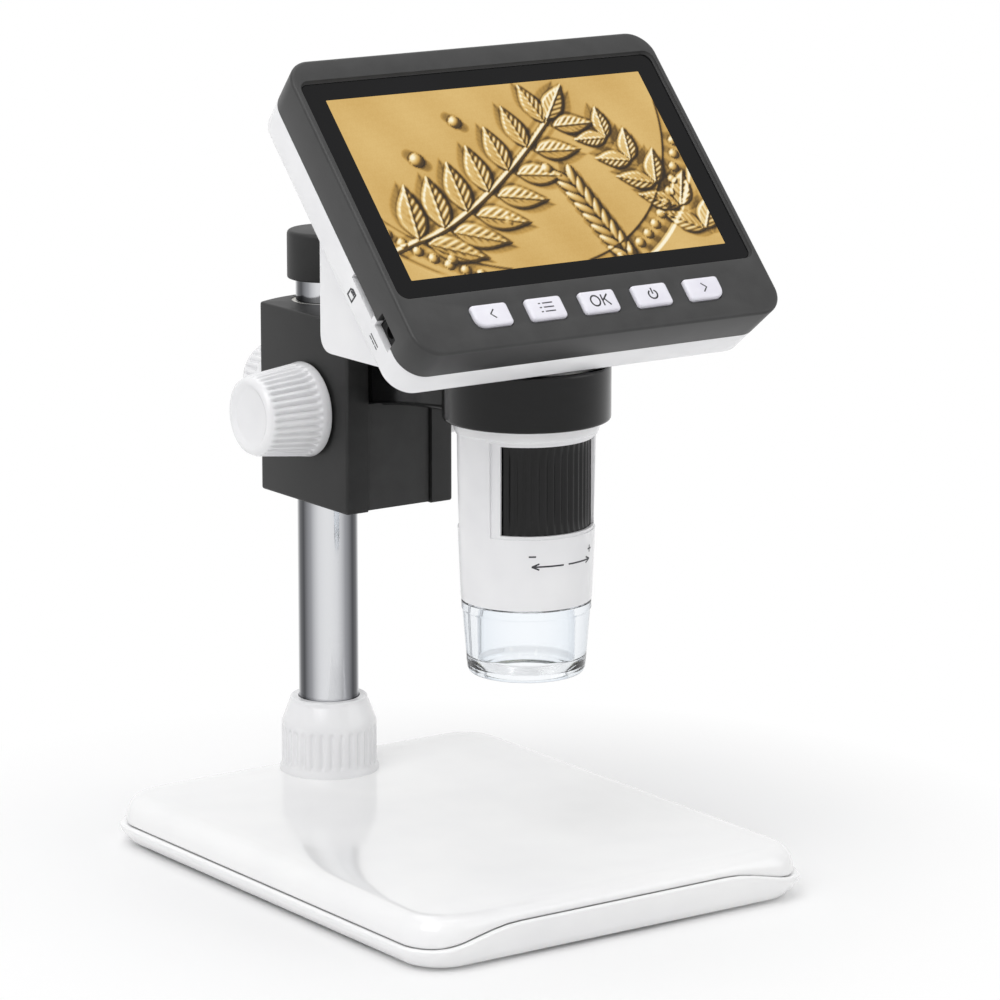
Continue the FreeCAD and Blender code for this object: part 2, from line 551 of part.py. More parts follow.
def slider():
    foot, tall = "block_low + 0.3", "block_high - block_low - 0.6"
    tongue = box("tongue", "-panel_half", "slider_front", foot, "2 * panel_half",
                 "wing_front - slider_front + 1",
                 tall)
    wings = box("wings", "-wing_half", "wing_front", foot, "2 * wing_half", "wing_deep", tall)
    seat = box("rack_seat", "-rack_half", "slider_back - rack_seat", foot, "2 * rack_half",
               "2 * rack_seat", tall)
    holes = []
    screws = []
    for sign in (-1, 1):
        for z in ("arm_screw_low", "arm_screw_high"):
            x = f"{sign} * arm_screw_out"
            holes.append(rod("screw_hole", "arm_screw_radius + run_gap", "arm_screw_long", x,
                             "slider_front - 1", z, "Y"))
            holes.append(rod("screw_seat", "arm_screw_head + run_gap", "arm_head_sunk + 1", x,
                             "slider_back - arm_head_sunk", z, "Y"))
            shank = rod("arm_shank", "arm_screw_radius", "arm_screw_long", x,
                        "slider_back - arm_head_sunk - arm_screw_long", z, "Y")
            head = rod("arm_head", "arm_screw_head", "arm_head_thick", x, "slider_back - arm_head_sunk",
                       z, "Y")
            screws.append(fuse("arm_screw", shank, head))
    node("slider_plate", cut("slider_plate", fuse("slider_solid", tongue, wings), seat, *holes))
    node("arm_screws", group("arm_screws", *screws))

    rack = body("rack")
    root_y = "pitch_line - tooth_dedendum"
    start = "slider_back - rack_seat"
    item = polygon(sketch(rack, "YZ_Plane", "-rack_half"), [
        (start, f"{foot} + rack_end"), (root_y, f"{foot} + rack_end"),
        (root_y, f"{foot} + {tall} - rack_end"), (start, f"{foot} + {tall} - rack_end")])
    pad(rack, item, "2 * rack_half")
    thick = "(tooth_pitch / 2 - tooth_backlash)"
    wide_root, wide_tip = tooth_outline(thick, "tooth_dedendum", "tooth_addendum")
    first = "(focus_z + tooth_pitch / 2 - rack_teeth / 2 * tooth_pitch)"
    tip_y = "pitch_line + tooth_addendum"
    item = polygon(sketch(rack, "YZ_Plane", "-rack_half"), [
        (f"{root_y} - 0.5", f"{first} - ({wide_root})"), (root_y, f"{first} - ({wide_root})"),
        (tip_y, f"{first} - ({wide_tip})"), (tip_y, f"{first} + {wide_tip}"),
        (root_y, f"{first} + {wide_root}"), (f"{root_y} - 0.5", f"{first} + {wide_root}")])
    tooth = pad(rack, item, "2 * rack_half")
    row = rack.newObject("PartDesign::LinearPattern", "rack_teeth")
    row.Originals = [tooth]
    row.Direction = (next(o for o in rack.Origin.OriginFeatures if o.Role == "Z_Axis"), [""])
    row.Mode = "Spacing"
    row.setExpression("Offset", full("tooth_pitch"))
    row.setExpression("Occurrences", full("rack_teeth"))
    rack.Tip = row
    doc.recompute()
    node("focus_rack", rack)


def arm_and_ring():
    arm = body("arm")
    item = sketch(arm, "YZ_Plane")
    root_y, end_y = "slider_front", "barrel_y + ring_radius - 2"
    root, mid, end = [Vector(value(y), value(z), 0) for y, z in
                      ((root_y, "arm_root"), ("arm_mid_y", "arm_mid_z"), (end_y, "ring_low"))]
    top_end = Vector(value(end_y), value("arm_high"), 0)
    top_root = Vector(value(root_y), value("arm_high"), 0)
    item.addGeometry(Part.LineSegment(root, mid), False)
    item.addGeometry(Part.LineSegment(mid, end), False)
    item.addGeometry(Part.LineSegment(end, top_end), False)
    item.addGeometry(Part.LineSegment(top_end, top_root), False)
    item.addGeometry(Part.LineSegment(top_root, root), False)
    for index in range(5):
        item.addConstraint(Sketcher.Constraint("Coincident", index, 2, (index + 1) % 5, 1))
    for index, (y, z) in enumerate(((root_y, "arm_root"), ("arm_mid_y", "arm_mid_z"), (end_y, "ring_low"),
                                    (end_y, "arm_high"), (root_y, "arm_high"))):
        rule(item, "DistanceX", -1, 1, index, 1, text=y)
        rule(item, "DistanceY", -1, 1, index, 1, text=z)
    pad(arm, item, "2 * panel_half", middle=True)
    ring = rod("ring_outer", "ring_radius", "ring_high - ring_low", 0, "barrel_y", "ring_low")
    bore = rod("ring_bore_cut", "ring_bore", "ring_high", 0, "barrel_y", "ring_low - 10")
    pilots = [rod("arm_pilot", "arm_screw_radius", "arm_screw_long + 5", f"{sign} * arm_screw_out",
                  "slider_back - arm_head_sunk - arm_screw_long", z, "Y")
              for sign in (-1, 1) for z in ("arm_screw_low", "arm_screw_high")]
    node("arm_ring", cut("arm_ring", fuse("arm_solid", arm, ring), bore, *pilots))
    node("ring_liner", tube("ring_liner", "liner_outer", "liner_inner", "ring_high - ring_low - 0.4", 0,
                            "barrel_y", "ring_low + 0.2"))


def sector(name, radius, half, low, high):
    """A prism that covers an angle of the barrel's front, wide enough to reach past its wall."""
    owner = body(name)
    far = f"({radius}) * 1.5"
    item = polygon(sketch(owner, lift=low), [
        ("0", "0"), (f"-{far} * sin({half})", f"-{far} * cos({half})"), (f"-{far}", f"-{far} * 1.2"),
        (far, f"-{far} * 1.2"), (f"{far} * sin({half})", f"-{far} * cos({half})")])
    pad(owner, item, f"({high}) - ({low})")
    return place(owner, y="barrel_y")


def barrel_screw_spots():
    """The three screws that hold barrel, housing and neck ring together."""
    return [(f"barrel_screw_circle * cos({angle})", f"barrel_y + barrel_screw_circle * sin({angle})")
            for angle in (90, 210, 330)]


def barrel():
    shell = lathe("barrel_turned", [
        ("board_bore", "barrel_low"), ("barrel_foot_radius", "barrel_low"),
        ("body_radius - 0.2", "window_low"),
        ("body_radius", "lip_low - 0.6"), ("neck_radius", "lip_low"),
        ("neck_radius", "wedge_low + wedge_wall"),
        ("neck_flange", "wedge_low + wedge_wall"),
        ("neck_flange", "wedge_low + wedge_wall + neck_flange_thick"),
        ("wheel_bore", "wedge_low + wedge_wall + neck_flange_thick"), ("wheel_bore", "shoulder"),
        ("light_bore", "shoulder"), ("light_bore", "board_seat"), ("board_bore", "board_seat")])
    place(shell, y="barrel_y")
    window = sector("window_cut", "neck_radius", "window_half", "window_low", "window_high")
    back_window = sector("rear_window", "neck_radius", "window_half", "window_low", "window_high")
    back_window.Placement.Rotation = FreeCAD.Rotation(Vector(0, 0, 1), 180)
    rim = sector("pad_sector", "neck_radius", "pad_half", "window_low - 0.8", "window_high + 0.8")
    relief = tube("pad_relief", "neck_radius + 2", "body_radius - 0.2 - pad_deep",
                  "window_high - window_low + 1.6", 0,
                  "barrel_y", "window_low - 0.8")
    screws = []
    flange_top = "wedge_low + wedge_wall + neck_flange_thick"
    top = f"{flange_top} + chassis_flange"
    for x, y in barrel_screw_spots():
        shank = rod("barrel_shank", "barrel_screw_radius", "barrel_screw_long", x, y,
                    f"{top} - barrel_screw_long")
        screws.append(fuse("barrel_screw", shank, rod("barrel_head", "barrel_screw_head", "1.2", x, y, top)))
    through = [rod("flange_hole", "barrel_screw_radius", "slab_deep", x, y, "neck_ring_low")
               for x, y in barrel_screw_spots()]
    node("barrel_shell", cut("barrel_shell", shell, window, back_window, common("pad_cut", relief, rim),
                             *through))
    node("barrel_screws", group("barrel_screws", *screws))

    chassis = lathe("chassis_turned", [
        ("chassis_hole", "chassis_low"), ("wheel_bore - run_gap", "chassis_low"),
        ("wheel_bore - run_gap", flange_top), ("neck_flange", flange_top), ("neck_flange", top),
        ("wheel_bore - chassis_wall", top), ("wheel_bore - chassis_wall", "sensor_seat"),
        ("seat_radius", "sensor_seat"), ("seat_radius", "chassis_low + chassis_plate"),
        ("chassis_hole", "chassis_low + chassis_plate")])
    place(chassis, y="barrel_y")
    pins = [rod("guide_pin", "pin_radius", "chassis_low + chassis_plate - pin_low", f"{sign} * pin_circle",
                "barrel_y", "pin_low") for sign in (-1, 1)]
    pin_holes = [rod("pin_seat", "pin_radius", "chassis_plate", f"{sign} * pin_circle", "barrel_y",
                     "chassis_low") for sign in (-1, 1)]
    flange_holes = [rod("chassis_hole_cut", "barrel_screw_radius", "slab_deep", x, y, "wedge_low")
                    for x, y in barrel_screw_spots()]
    node("optical_chassis", cut("optical_chassis", chassis, *pin_holes, *flange_holes))
    node("guide_pins", group("guide_pins", *pins))
    node("sensor_board", rod("sensor_board", "wheel_bore - chassis_wall - 0.1", "board_thick", 0, "barrel_y",
                             "sensor_seat"))
    node("image_sensor", mid_box("image_sensor", "0", "barrel_y", "sensor_seat - sensor_thick",
                                 "2 * sensor_half", "2 * sensor_half", "sensor_thick"))
    board_z = "board_seat - board_thick"
    node("lamp_board", tube("lamp_board", "board_bore - 0.1", "lamp_hole", "board_thick", 0, "barrel_y",
                            board_z))
    lamps = []
    for index in range(SIZES["lamp_count"]):
        angle = f"360 * {index} / lamp_count"
        lamps.append(mid_box("lamp", f"lamp_circle * cos({angle})", f"barrel_y + lamp_circle * sin({angle})",
                             f"{board_z} - lamp_thick", "2 * lamp_half", "2 * lamp_half", "lamp_thick"))
    node("lamps", group("lamps", *lamps))

    wheel = lathe("focus_wheel", [
        ("wheel_inner", "wheel_low"), ("wheel_radius", "wheel_low"), ("wheel_radius", "wheel_low + 0.8"),
        ("wheel_radius - wheel_rib", "wheel_low + 0.8"), ("wheel_radius - wheel_rib", "wheel_high - 0.8"),
        ("wheel_radius", "wheel_high - 0.8"), ("wheel_radius", "wheel_high"), ("wheel_inner", "wheel_high")])
    ribbed(wheel, [("wheel_radius - 2 * wheel_rib", "wheel_low + 0.4"), ("wheel_radius", "wheel_low + 0.4"),
                   ("wheel_radius", "wheel_high - 0.4"),
                   ("wheel_radius - 2 * wheel_rib", "wheel_high - 0.4")],
           "1.2", "wheel_ribs")
    node("focus_wheel", place(wheel, y="barrel_y"))

    carrier = tube("carrier_tube", "wheel_inner - run_gap", "lens_radius", "lens_high - lens_low", 0,
                   "barrel_y",
                   "lens_low")
    slots = [rod("pin_run", "pin_radius + run_gap", "20", f"{sign} * pin_circle", "barrel_y", "lens_low - 2")
             for sign in (-1, 1)]
    node("lens_carrier", cut("lens_carrier", carrier, *slots))
    glasses = []
    for low in ("lens_low + 0.6", "lens_low + 5", "lens_high - 0.6 - glass_thick"):
        glass = lathe("glass", [("0", f"{low} - 0.5"), ("lens_radius * 0.5", f"{low} - 0.35"),
                                ("lens_radius", low), ("lens_radius", f"{low} + glass_thick"),
                                ("lens_radius * 0.5", f"{low} + glass_thick + 0.25"),
                                ("0", f"{low} + glass_thick + 0.35")])
        glasses.append(place(glass, y="barrel_y"))
    node("lens_glasses", group("lens_glasses", *glasses))


def tip():
    spigot = "board_bore - spigot_gap"
    clear = lathe("clear_tip", [
        ("tip_mouth", "tip_low"), ("tip_flat", "tip_low"), ("tip_flat + 1.4", "tip_low + 1"),
        ("tip_foot_radius", "tip_turn"), ("tip_top_radius", "tip_top"), (spigot, "tip_top"),
        (spigot, "tip_top + spigot_long"), ("tip_bore", "tip_top + spigot_long"),
        ("tip_bore", "tip_low + 3.4"), ("tip_mouth", "tip_low + 1.6")])
    node("clear_tip", place(clear, y="barrel_y"))


def wedge(name, shrink, sides):
    """The housing's thick part behind the slab; shrink is how far it is set inside the outer skin."""
    flare = body(name + "_flare")
    west = f"-wedge_half + ({shrink})"
    wide = f"-wedge_half - wedge_flare + ({shrink})"
    deep = "slab_back - flare_deep"
    front = f"slab_back + ({sides})"
    item = polygon(sketch(flare, "XZ_Plane", "-55"), [
        (west, "slab_back - 45"), (f"-({west})", "slab_back - 45"), (f"-({west})", deep),
        (f"-({west}) + wedge_flare * 0.16", f"{deep} + flare_deep * 0.4"),
        (f"-({west}) + wedge_flare * 0.5", f"{deep} + flare_deep * 0.78"),
        (f"-({wide})", "slab_back"), (f"-({wide})", front), (wide, front), (wide, "slab_back"),
        (f"{west} - wedge_flare * 0.5", f"{deep} + flare_deep * 0.78"),
        (f"{west} - wedge_flare * 0.16", f"{deep} + flare_deep * 0.4"), (west, deep)])
    pad(flare, item, "110")
    tilted(flare)
    keep = body(name + "_keep")
    back = f"pole_back - wedge_back - ({shrink})"
    low = f"wedge_low + ({shrink})"
    item = polygon(sketch(keep, "YZ_Plane"), [
        (back, low), (back, "screen_z + 20"), ("barrel_y - 20", "screen_z + 20"), ("barrel_y - 45", low)])
    pad(keep, item, "2 * face_wide", middle=True)
    lower_back = Vector(0, value(back), value(low))
    def picks(edge):
        middle = edge.BoundBox.Center
        return edge.Length > 50 and (Vector(0, middle.y, middle.z) - lower_back).Length < 0.01
    round_edges(keep, f"wedge_round - ({shrink})", picks)
    return common(name, flare, keep)


def side_mouths(name):
    """The holes in the left side for the power jack and the card, across the seam of both shells."""
    side = "-(face_wide / 2) - 1"
    gap = "2 * side_gap"
    return [
        box(name + "_jack_mouth", side, "jack_along - jack_wide / 2 - side_gap",
            "-main_board - side_gap", "8",
            f"jack_wide + {gap}", f"jack_tall + {gap}"),
        box(name + "_card_mouth", side, "card_along - card_wide / 2 - side_gap",
            "-main_board - side_gap", "8",
            f"card_wide + {gap}", f"card_tall + {gap}"),
    ]


def screen_housing():
    centre = "-face_drop"
    bezel = slab("bezel_outer", "face_wide", "face_long", "face_proud", "bezel_back", "face_corner",
                 y=centre,
                 taper="slab_draft")
    edge_break = flat_at(value("face_proud"))
    round_edges(bezel, "0.8", edge_break, "PartDesign::Chamfer")
    inner_wide = "face_wide - 2 * bezel_narrow - 2 * slab_wall"
    inner_long = "face_long - 2 * bezel_narrow - 2 * slab_wall"
    room = slab("bezel_room", inner_wide, inner_long, "bezel_back", "face_inner", "face_corner - slab_wall",
                y=centre)
    glass_seat = slab("glass_seat", "screen_wide + 2 * recess_side", "screen_long + 2 * recess_end",
                      "-glass_deep", "face_proud + 1", "2.5")
    view = slab("view_cut", "screen_wide + 2 * view_margin", "screen_long + 2 * view_margin",
                "face_inner - 1",
                "0", "1")
    spots = [(f"{sign} * corner_out", up) for sign in (-1, 1) for up in ("corner_top", "-corner_low")]
    bosses = [rod("corner_boss", "corner_boss", "bezel_deep - face_thick", x, y, "bezel_back") for x,
              y in spots]
    posts = [rod("key_post", "key_post", "face_inner + key_board", f"{sign} * key_post_out", "-button_drop",
                 "-key_board") for sign in (-1, 1)]
    solid = fuse("bezel_filled", cut("bezel_hollow", bezel, room), *bosses, *posts)
    cuts = [glass_seat, view]
    cuts += [rod("corner_pilot", "corner_screw", "7", x, y, "bezel_back") for x, y in spots]
    cuts += side_mouths("bezel")
    for index in range(5):
        cuts.append(button_prism(f"button_hole_{index}", index, "button_gap", "face_inner - 1",
                                 "face_proud + 1"))
    node("bezel", cut("bezel", solid, *cuts), slanted=True)

    wide_back, long_back = "face_wide - 2 * bezel_narrow", "face_long - 2 * bezel_narrow"
    outer = slab("shell_outer", wide_back, long_back, "bezel_back", "slab_back", "face_corner - 0.5",
                 y=centre,
                 taper="slab_draft")
    round_edges(outer, "slab_round", flat_at(value("slab_back")))
    tilted(outer)
    cavity = slab("shell_cavity", "face_wide - 2 * back_narrow - 2 * slab_wall",
                  "face_long - 2 * back_narrow - 2 * slab_wall", "wall_inner", "bezel_back + 1",
                  "face_corner - slab_wall", y=centre)
    tilted(cavity)
    skin = fuse("shell_skin", outer, wedge("wedge", "0", "0.5"))
    carved = cut("shell_carved", skin, cavity, wedge("wedge_room", "wedge_wall", "3"))
    shell_posts = []
    shell_cuts = []
    screws = []
    for x, y in spots:
        shell_posts.append(rod("corner_post", "corner_post", "bezel_back - slab_back + 8", x, y,
                               "slab_back - 8"))
        shell_cuts.append(rod("corner_hole", "corner_screw", "slab_deep", x, y, "slab_back"))
        shell_cuts.append(rod("corner_recess", "corner_head + 0.1", "17.5", x, y, "slab_back - 14"))
        head_top = "slab_back + 3.5"
        screws.append(fuse("corner_screw", rod("corner_shank", "corner_screw", "corner_screw_long - 2",
                                               x, y, head_top),
                           rod("corner_head", "corner_head", "1.3", x, y, "slab_back + 2.2")))
    board_posts = [rod("board_post", "post_radius", "board_back - slab_back + 8", f"{sx} * post_out",
                       f"{sy} * post_up", "slab_back - 8") for sx in (-1, 1) for sy in (-1, 1)]
    inside = common("shell_posts_trimmed", tilted(fuse("shell_posts", *shell_posts, *board_posts)), skin)
    openings = side_mouths("shell")
    outside = tilted(fuse("shell_holes", *shell_cuts, *openings))
    neck_cut = rod("neck_cut", "neck_hole", "wedge_low + wedge_wall + 2 - neck_ring_low", 0, "barrel_y",
                   "neck_ring_low - 2")
    wall_holes = [rod("wall_hole", "barrel_screw_radius + run_gap", "wedge_wall + 2", x, y, "wedge_low - 1")
                  for x, y in barrel_screw_spots()]
    shell = cut("rear_shell", fuse("shell_with_posts", carved, inside), outside, neck_cut, *wall_holes)
    node("rear_shell", shell)
    node("shell_screws", group("shell_screws", *screws), slanted=True)

    ring = tube("neck_blank", "ring_radius", "neck_hole", "wedge_low - neck_ring_low", 0, "barrel_y",
                "neck_ring_low")
    above = mid_box("ring_trim", "0", "-face_drop", "slab_back", "face_wide", "2 * face_long", "slab_deep")
    pilots = [rod("ring_pilot", "barrel_screw_radius", "slab_deep", x, y, "neck_ring_low")
              for x, y in barrel_screw_spots()]
    node("neck_ring", cut("neck_ring", ring, tilted(group("ring_trim_leaning", above)), *pilots))


def electronics():
    node("screen_window", slab("screen_window", "screen_wide + 2 * recess_side - 2 * glass_gap",
                               "screen_long + 2 * recess_end - 2 * glass_gap", "-glass_deep", "0", "2.4"),
         slanted=True)
    panel_z = "face_inner - panel_thick"
    node("lcd_panel", mid_box("lcd_panel", "0", "-panel_drop", panel_z, "panel_wide", "panel_long",
                              "panel_thick"),
         slanted=False)
    node("lcd_tray", mid_box("lcd_tray", "0", "-panel_drop", f"{panel_z} - tray_thick", "panel_wide",
                             "panel_long", "tray_thick"))
    node("main_board", mid_box("main_board", "0", "-board_drop", "board_back", "board_wide", "board_long",
                               "main_board_thick"))
    node("battery_pad", mid_box("battery_pad", "0", "-cell_drop", "board_back - foam_thick", "cell_wide",
                                "cell_long", "foam_thick"))
    node("battery_cell", mid_box("battery_cell", "0", "-cell_drop", "board_back - foam_thick - cell_thick",
                                 "cell_wide", "cell_long", "cell_thick"))
    left = "-face_wide / 2 + 2.6"
    card = box("card_body", left, "card_along - card_wide / 2", "-main_board", "card_long", "card_wide",
               "card_tall")
    card_slot = box("card_slot", left, "card_along - card_wide / 2 + 0.6", "0.35 - main_board",
                    "card_long - 2", "card_wide - 1.2", "0.8")
    node("card_socket", cut("card_socket", card, card_slot))
    jack = box("jack_body", left, "jack_along - jack_wide / 2", "-main_board", "jack_long", "jack_wide",
               "jack_tall")
    middle = "jack_tall / 2 - main_board"
    jack_bore = rod("jack_bore", "jack_tall / 2 - 0.7", "jack_long - 1.5", left, "jack_along", middle, "X")
    jack_pin = rod("jack_pin", "0.65", "jack_long - 2", f"{left} + 1.5", "jack_along", middle, "X")
    node("power_jack", fuse("power_jack", cut("jack_hollow", jack, jack_bore), jack_pin))
    node("key_board", mid_box("key_board", "0", "-button_drop", "-key_board - board_thick", "key_board_wide",
                              "key_board_long", "board_thick"))
    switches = []
    for index in range(5):
        x = button_x(index)
        switches.append(fuse(
            "switch",
            mid_box("switch_base", x, "-button_drop", "-key_board", "2 * switch_half", "2 * switch_half",
                    "switch_thick"),
            rod("plunger", "plunger_radius", "key_board - plunger_end", x, "-button_drop", "-key_board")))
    node("key_switches", group("key_switches", *switches))
    for name in ("lcd_panel", "lcd_tray", "main_board", "battery_pad", "battery_cell", "card_socket",
                 "power_jack", "key_board", "key_switches"):
        lean(name)


def lean(name):
    """Put a node that was drawn flat into the slanted housing."""
    flat = nodes[name]
    flat.Label = name + "_flat"
    nodes[name] = node(name, tilted(group(name + "_leaning", flat)))


def button_x(index):
    return f"(button_right + {index - 2} * button_pitch)"


def button_prism(name, index, grow, low, high):
    """The outline of a button, wider by grow; the outer lower corners of the end ones are swept."""
    owner = body(name)
    x = button_x(index)
    west, east = f"{x} - button_wide / 2 - ({grow})", f"{x} + button_wide / 2 + ({grow})"
    south, north = f"-button_drop - button_long / 2 - ({grow})", f"-button_drop + button_long / 2 + ({grow})"
    item = polygon(sketch(owner, lift=low), [(west, south), (east, south), (east, north), (west, north)])
    pad(owner, item, f"({high}) - ({low})")
    swept = {0: value(west), 4: value(east)}.get(index)
    low_y = value(south)
    def is_swept(edge):
        spot = edge.BoundBox.Center
        if swept is None or not upright(edge):
            return False
        return abs(spot.x - swept) < 1e-4 and abs(spot.y - low_y) < 1e-4
    round_edges(owner, "button_corner", lambda edge: upright(edge) and not is_swept(edge))
    if swept is not None:
        round_edges(owner, "button_sweep", is_swept)
    return owner


BUTTONS = ("button_back", "button_menu", "button_ok", "button_power", "button_next")


def buttons():
    for index, name in enumerate(BUTTONS):
        cap = button_prism(name + "_cap", index, "0", "face_inner - 2 * key_gap",
                           "face_proud + button_proud")
        round_edges(cap, "0.5", flat_at(value("face_proud + button_proud")))
        flange = button_prism(name + "_flange", index, "button_flange",
                              "face_inner - 2 * key_gap - button_flange_thick", "face_inner - 2 * key_gap")
        stem = rod(name + "_stem", "stem_radius", "plunger_end - press - 2 * key_gap - key_gap + face_inner",
                   button_x(index), "-button_drop", "press + key_gap - plunger_end")
        node(name, fuse(name, cap, flange, stem), slanted=True)


def check_and_write():
    doc.recompute()
    for item in doc.Objects:
        faults = [state for state in item.State if state in ("Invalid", "Error")]
        assert not faults, f"{item.Label}: {item.State}"
    for name, item in nodes.items():
        shape = item.Shape
        assert not shape.isNull() and shape.isValid() and shape.Solids, name
    os.makedirs("parts", exist_ok=True)
    for name, item in nodes.items():
        item.Shape.exportStep(f"parts/{name}.step")
        print(f"{name}: {len(item.Shape.Solids)} solid(s), {item.Shape.Volume:.0f} mm3")
    print(len(nodes), "nodes")


fill_sheet()
base()
pole()
sleeve()
focus_block()
clamp()
focus_drive()
slider()
arm_and_ring()
barrel()
tip()
screen_housing()
electronics()
buttons()
check_and_write()
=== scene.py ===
import math

import bmesh
import bpy
from mathutils import Matrix, Vector


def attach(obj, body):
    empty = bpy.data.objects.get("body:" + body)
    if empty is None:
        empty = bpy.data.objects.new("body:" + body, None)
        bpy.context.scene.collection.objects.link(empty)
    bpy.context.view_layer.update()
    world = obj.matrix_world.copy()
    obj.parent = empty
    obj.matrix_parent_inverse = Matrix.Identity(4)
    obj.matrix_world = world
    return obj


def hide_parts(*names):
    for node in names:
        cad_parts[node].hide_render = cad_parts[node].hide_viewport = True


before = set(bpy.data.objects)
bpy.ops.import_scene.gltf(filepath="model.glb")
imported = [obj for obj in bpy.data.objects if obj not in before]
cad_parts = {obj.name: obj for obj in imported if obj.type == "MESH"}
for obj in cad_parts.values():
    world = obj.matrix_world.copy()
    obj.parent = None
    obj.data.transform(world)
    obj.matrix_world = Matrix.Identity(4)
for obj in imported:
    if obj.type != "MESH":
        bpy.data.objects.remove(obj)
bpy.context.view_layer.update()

mm = 0.001

# places shared by several pieces, in millimetres
stand = {"poleY": 52.6, "barrelY": -38.3, "baseTop": 14.0, "clampZ": 117.0, "focusY": 35.8}
poleAxis, barrelAxis = (0, stand["poleY"]), (0, stand["barrelY"])
slab = {"y": -38.9, "z": 186.6, "tilt": 46.9, "wide": 110.6, "long": 87.6, "middle": -5.1, "corner": 7.0,
        "front": 1.0, "seam": -10.0, "back": -19.0, "draft": 4.0}
slabCentre = (0, slab["middle"])


def moved(x, y, z):
    return Matrix.Translation((x * mm, y * mm, z * mm))


def spun(degrees, axis):
    return Matrix.Rotation(math.radians(degrees), 4, axis)


slabPlace = moved(0, slab["y"], slab["z"]) @ spun(slab["tilt"], "X")
ontoSide = Matrix(((0, 0, 1, 0), (1, 0, 0, 0), (0, 1, 0, 0), (0, 0, 0, 1)))  # x, y to y, z


# colour and material helpers

# a hex colour as linear light
def srgb(text):
    parts = [int(text[i:i + 2], 16) / 255 for i in (1, 3, 5)]
    return [c / 12.92 if c <= 0.04045 else ((c + 0.055) / 1.055) ** 2.4 for c in parts] + [1.0]


def newMaterial(name, colour, roughness, metallic=0.0, coat=0.0, shine=0.5, glassIor=None):
    made = bpy.data.materials.new(name)
    made.use_nodes = True
    shader = made.node_tree.nodes["Principled BSDF"]
    values = {"Base Color": srgb(colour), "Roughness": roughness, "Metallic": metallic, "Coat Weight": coat,
              "Coat Roughness": 0.06, "Specular IOR Level": shine}
    if glassIor:
        values.update({"Transmission Weight": 1.0, "IOR": glassIor})
    for key, value in values.items():
        shader.inputs[key].default_value = value
    made.diffuse_color = srgb(colour)
    return made, shader


def addNode(material, kind, **settings):
    node = material.node_tree.nodes.new(kind)
    for key, value in settings.items():
        if key in node.inputs:
            node.inputs[key].default_value = value
        else:
            setattr(node, key, value)
    return node


def join(material, source, output, target, entry):
    material.node_tree.links.new(source.outputs[output], target.inputs[entry])


# noise whose blobs are about sizeMm across, laid in the object's own space
def noiseAt(material, sizeMm, detail=3.0, stretch=None):
    place = addNode(material, "ShaderNodeTexCoord")
    noise = addNode(material, "ShaderNodeTexNoise", Scale=1000.0 / sizeMm, Detail=detail)
    if stretch:
        mapping = addNode(material, "ShaderNodeMapping", Scale=stretch)
        join(material, place, "Object", mapping, "Vector")
        join(material, mapping, "Vector", noise, "Vector")
    else:
        join(material, place, "Object", noise, "Vector")
    return noise


def spreadRoughness(material, shader, noise, roughness):
    spread = addNode(material, "ShaderNodeMapRange", **{"To Min": roughness[0], "To Max": roughness[1]})
    join(material, noise, "Fac", spread, "Value")
    join(material, spread, "Result", shader, "Roughness")


# stops are pairs of place on the ramp and hex colour
def rampColour(material, shader, source, output, stops):
    ramp = addNode(material, "ShaderNodeValToRGB")
    marks = ramp.color_ramp.elements
    while len(marks) < len(stops):
        marks.new(0.5)
    for mark, (position, colour) in zip(marks, stops):
        mark.position = position
        mark.color = srgb(colour)
    join(material, source, output, ramp, "Fac")
    join(material, ramp, "Color", shader, "Base Color")


# colour and roughness that wander between two values each
def vary(material, shader, noise, colours, roughness):
    rampColour(material, shader, noise, "Fac", ((0.3, colours[0]), (0.7, colours[1])))
    spreadRoughness(material, shader, noise, roughness)


def bumpFrom(material, shader, noise, depthMm, output="Fac"):
    bump = addNode(material, "ShaderNodeBump", Strength=1.0, Distance=depthMm * mm)
    join(material, noise, output, bump, "Height")
    join(material, bump, "Normal", shader, "Normal")


# painted light and shade: colour from how squarely the surface faces the eye: 0 is square on, 1 is edge on
def paintedFacingLight(material, shader, stops):
    facing = addNode(material, "ShaderNodeLayerWeight", Blend=0.5)
    rampColour(material, shader, facing, "Facing", stops)


# materials

# colour and sheen that wander in clouds (size, detail) over a fine grain (depth, size, detail), in millimetres
def finish(name, colours, roughness, cloud, grain=None, metallic=0.0, coat=0.0, shine=0.5):
    made, shader = newMaterial(name, colours[0], roughness[0], metallic, coat, shine)
    vary(made, shader, noiseAt(made, *cloud), colours, roughness)
    if grain:
        bumpFrom(made, shader, noiseAt(made, *grain[1:]), grain[0])
    return made


# plastic from a spark-eroded mould: a fine even grain and slightly uneven sheen
def mouldGrain(name, colours, roughness, grainMm=0.3, depthMm=0.012):
    return finish(name, colours, roughness, (6, 3), (depthMm, grainMm, 4), shine=0.3)


# machined metal with fine tool marks
def turnedMetal(name, colours, roughness=(0.25, 0.4)):
    return finish(name, colours, roughness, (2, 4), (0.004, 0.2, 2, (1, 1, 4)), 1.0)


# matte elastomer with a dusty, pebbled skin
def softRubber(name, colour):
    return finish(name, (colour, "#2b2b2c"), (0.65, 0.85), (3, 4), (0.03, 0.5, 4))


# bright chrome on a drawn steel tube, with faint draw lines along its length; its colour across the tube is a painted
# reflection
def chromePlate():
    made, shader = newMaterial("chromePlate", "#b4b5b8", 0.12, 1.0)
    lines = noiseAt(made, 0.5, 3, (1, 1, 0.02))
    vary(made, shader, lines, ("#b0b1b4", "#b9babd"), (0.07, 0.11))
    bumpFrom(made, shader, lines, 0.0004)
    # painted reflection: light where the tube faces the eye, then a dark band, then lighter again at its edges
    paintedFacingLight(made, shader, ((0.0, "#e2e3e5"), (0.07, "#d3d4d7"), (0.2, "#96979b"), (0.42, "#4a4b4e"),
                              (0.62, "#5a5b5e"), (0.85, "#b4b5b8")))
    return made
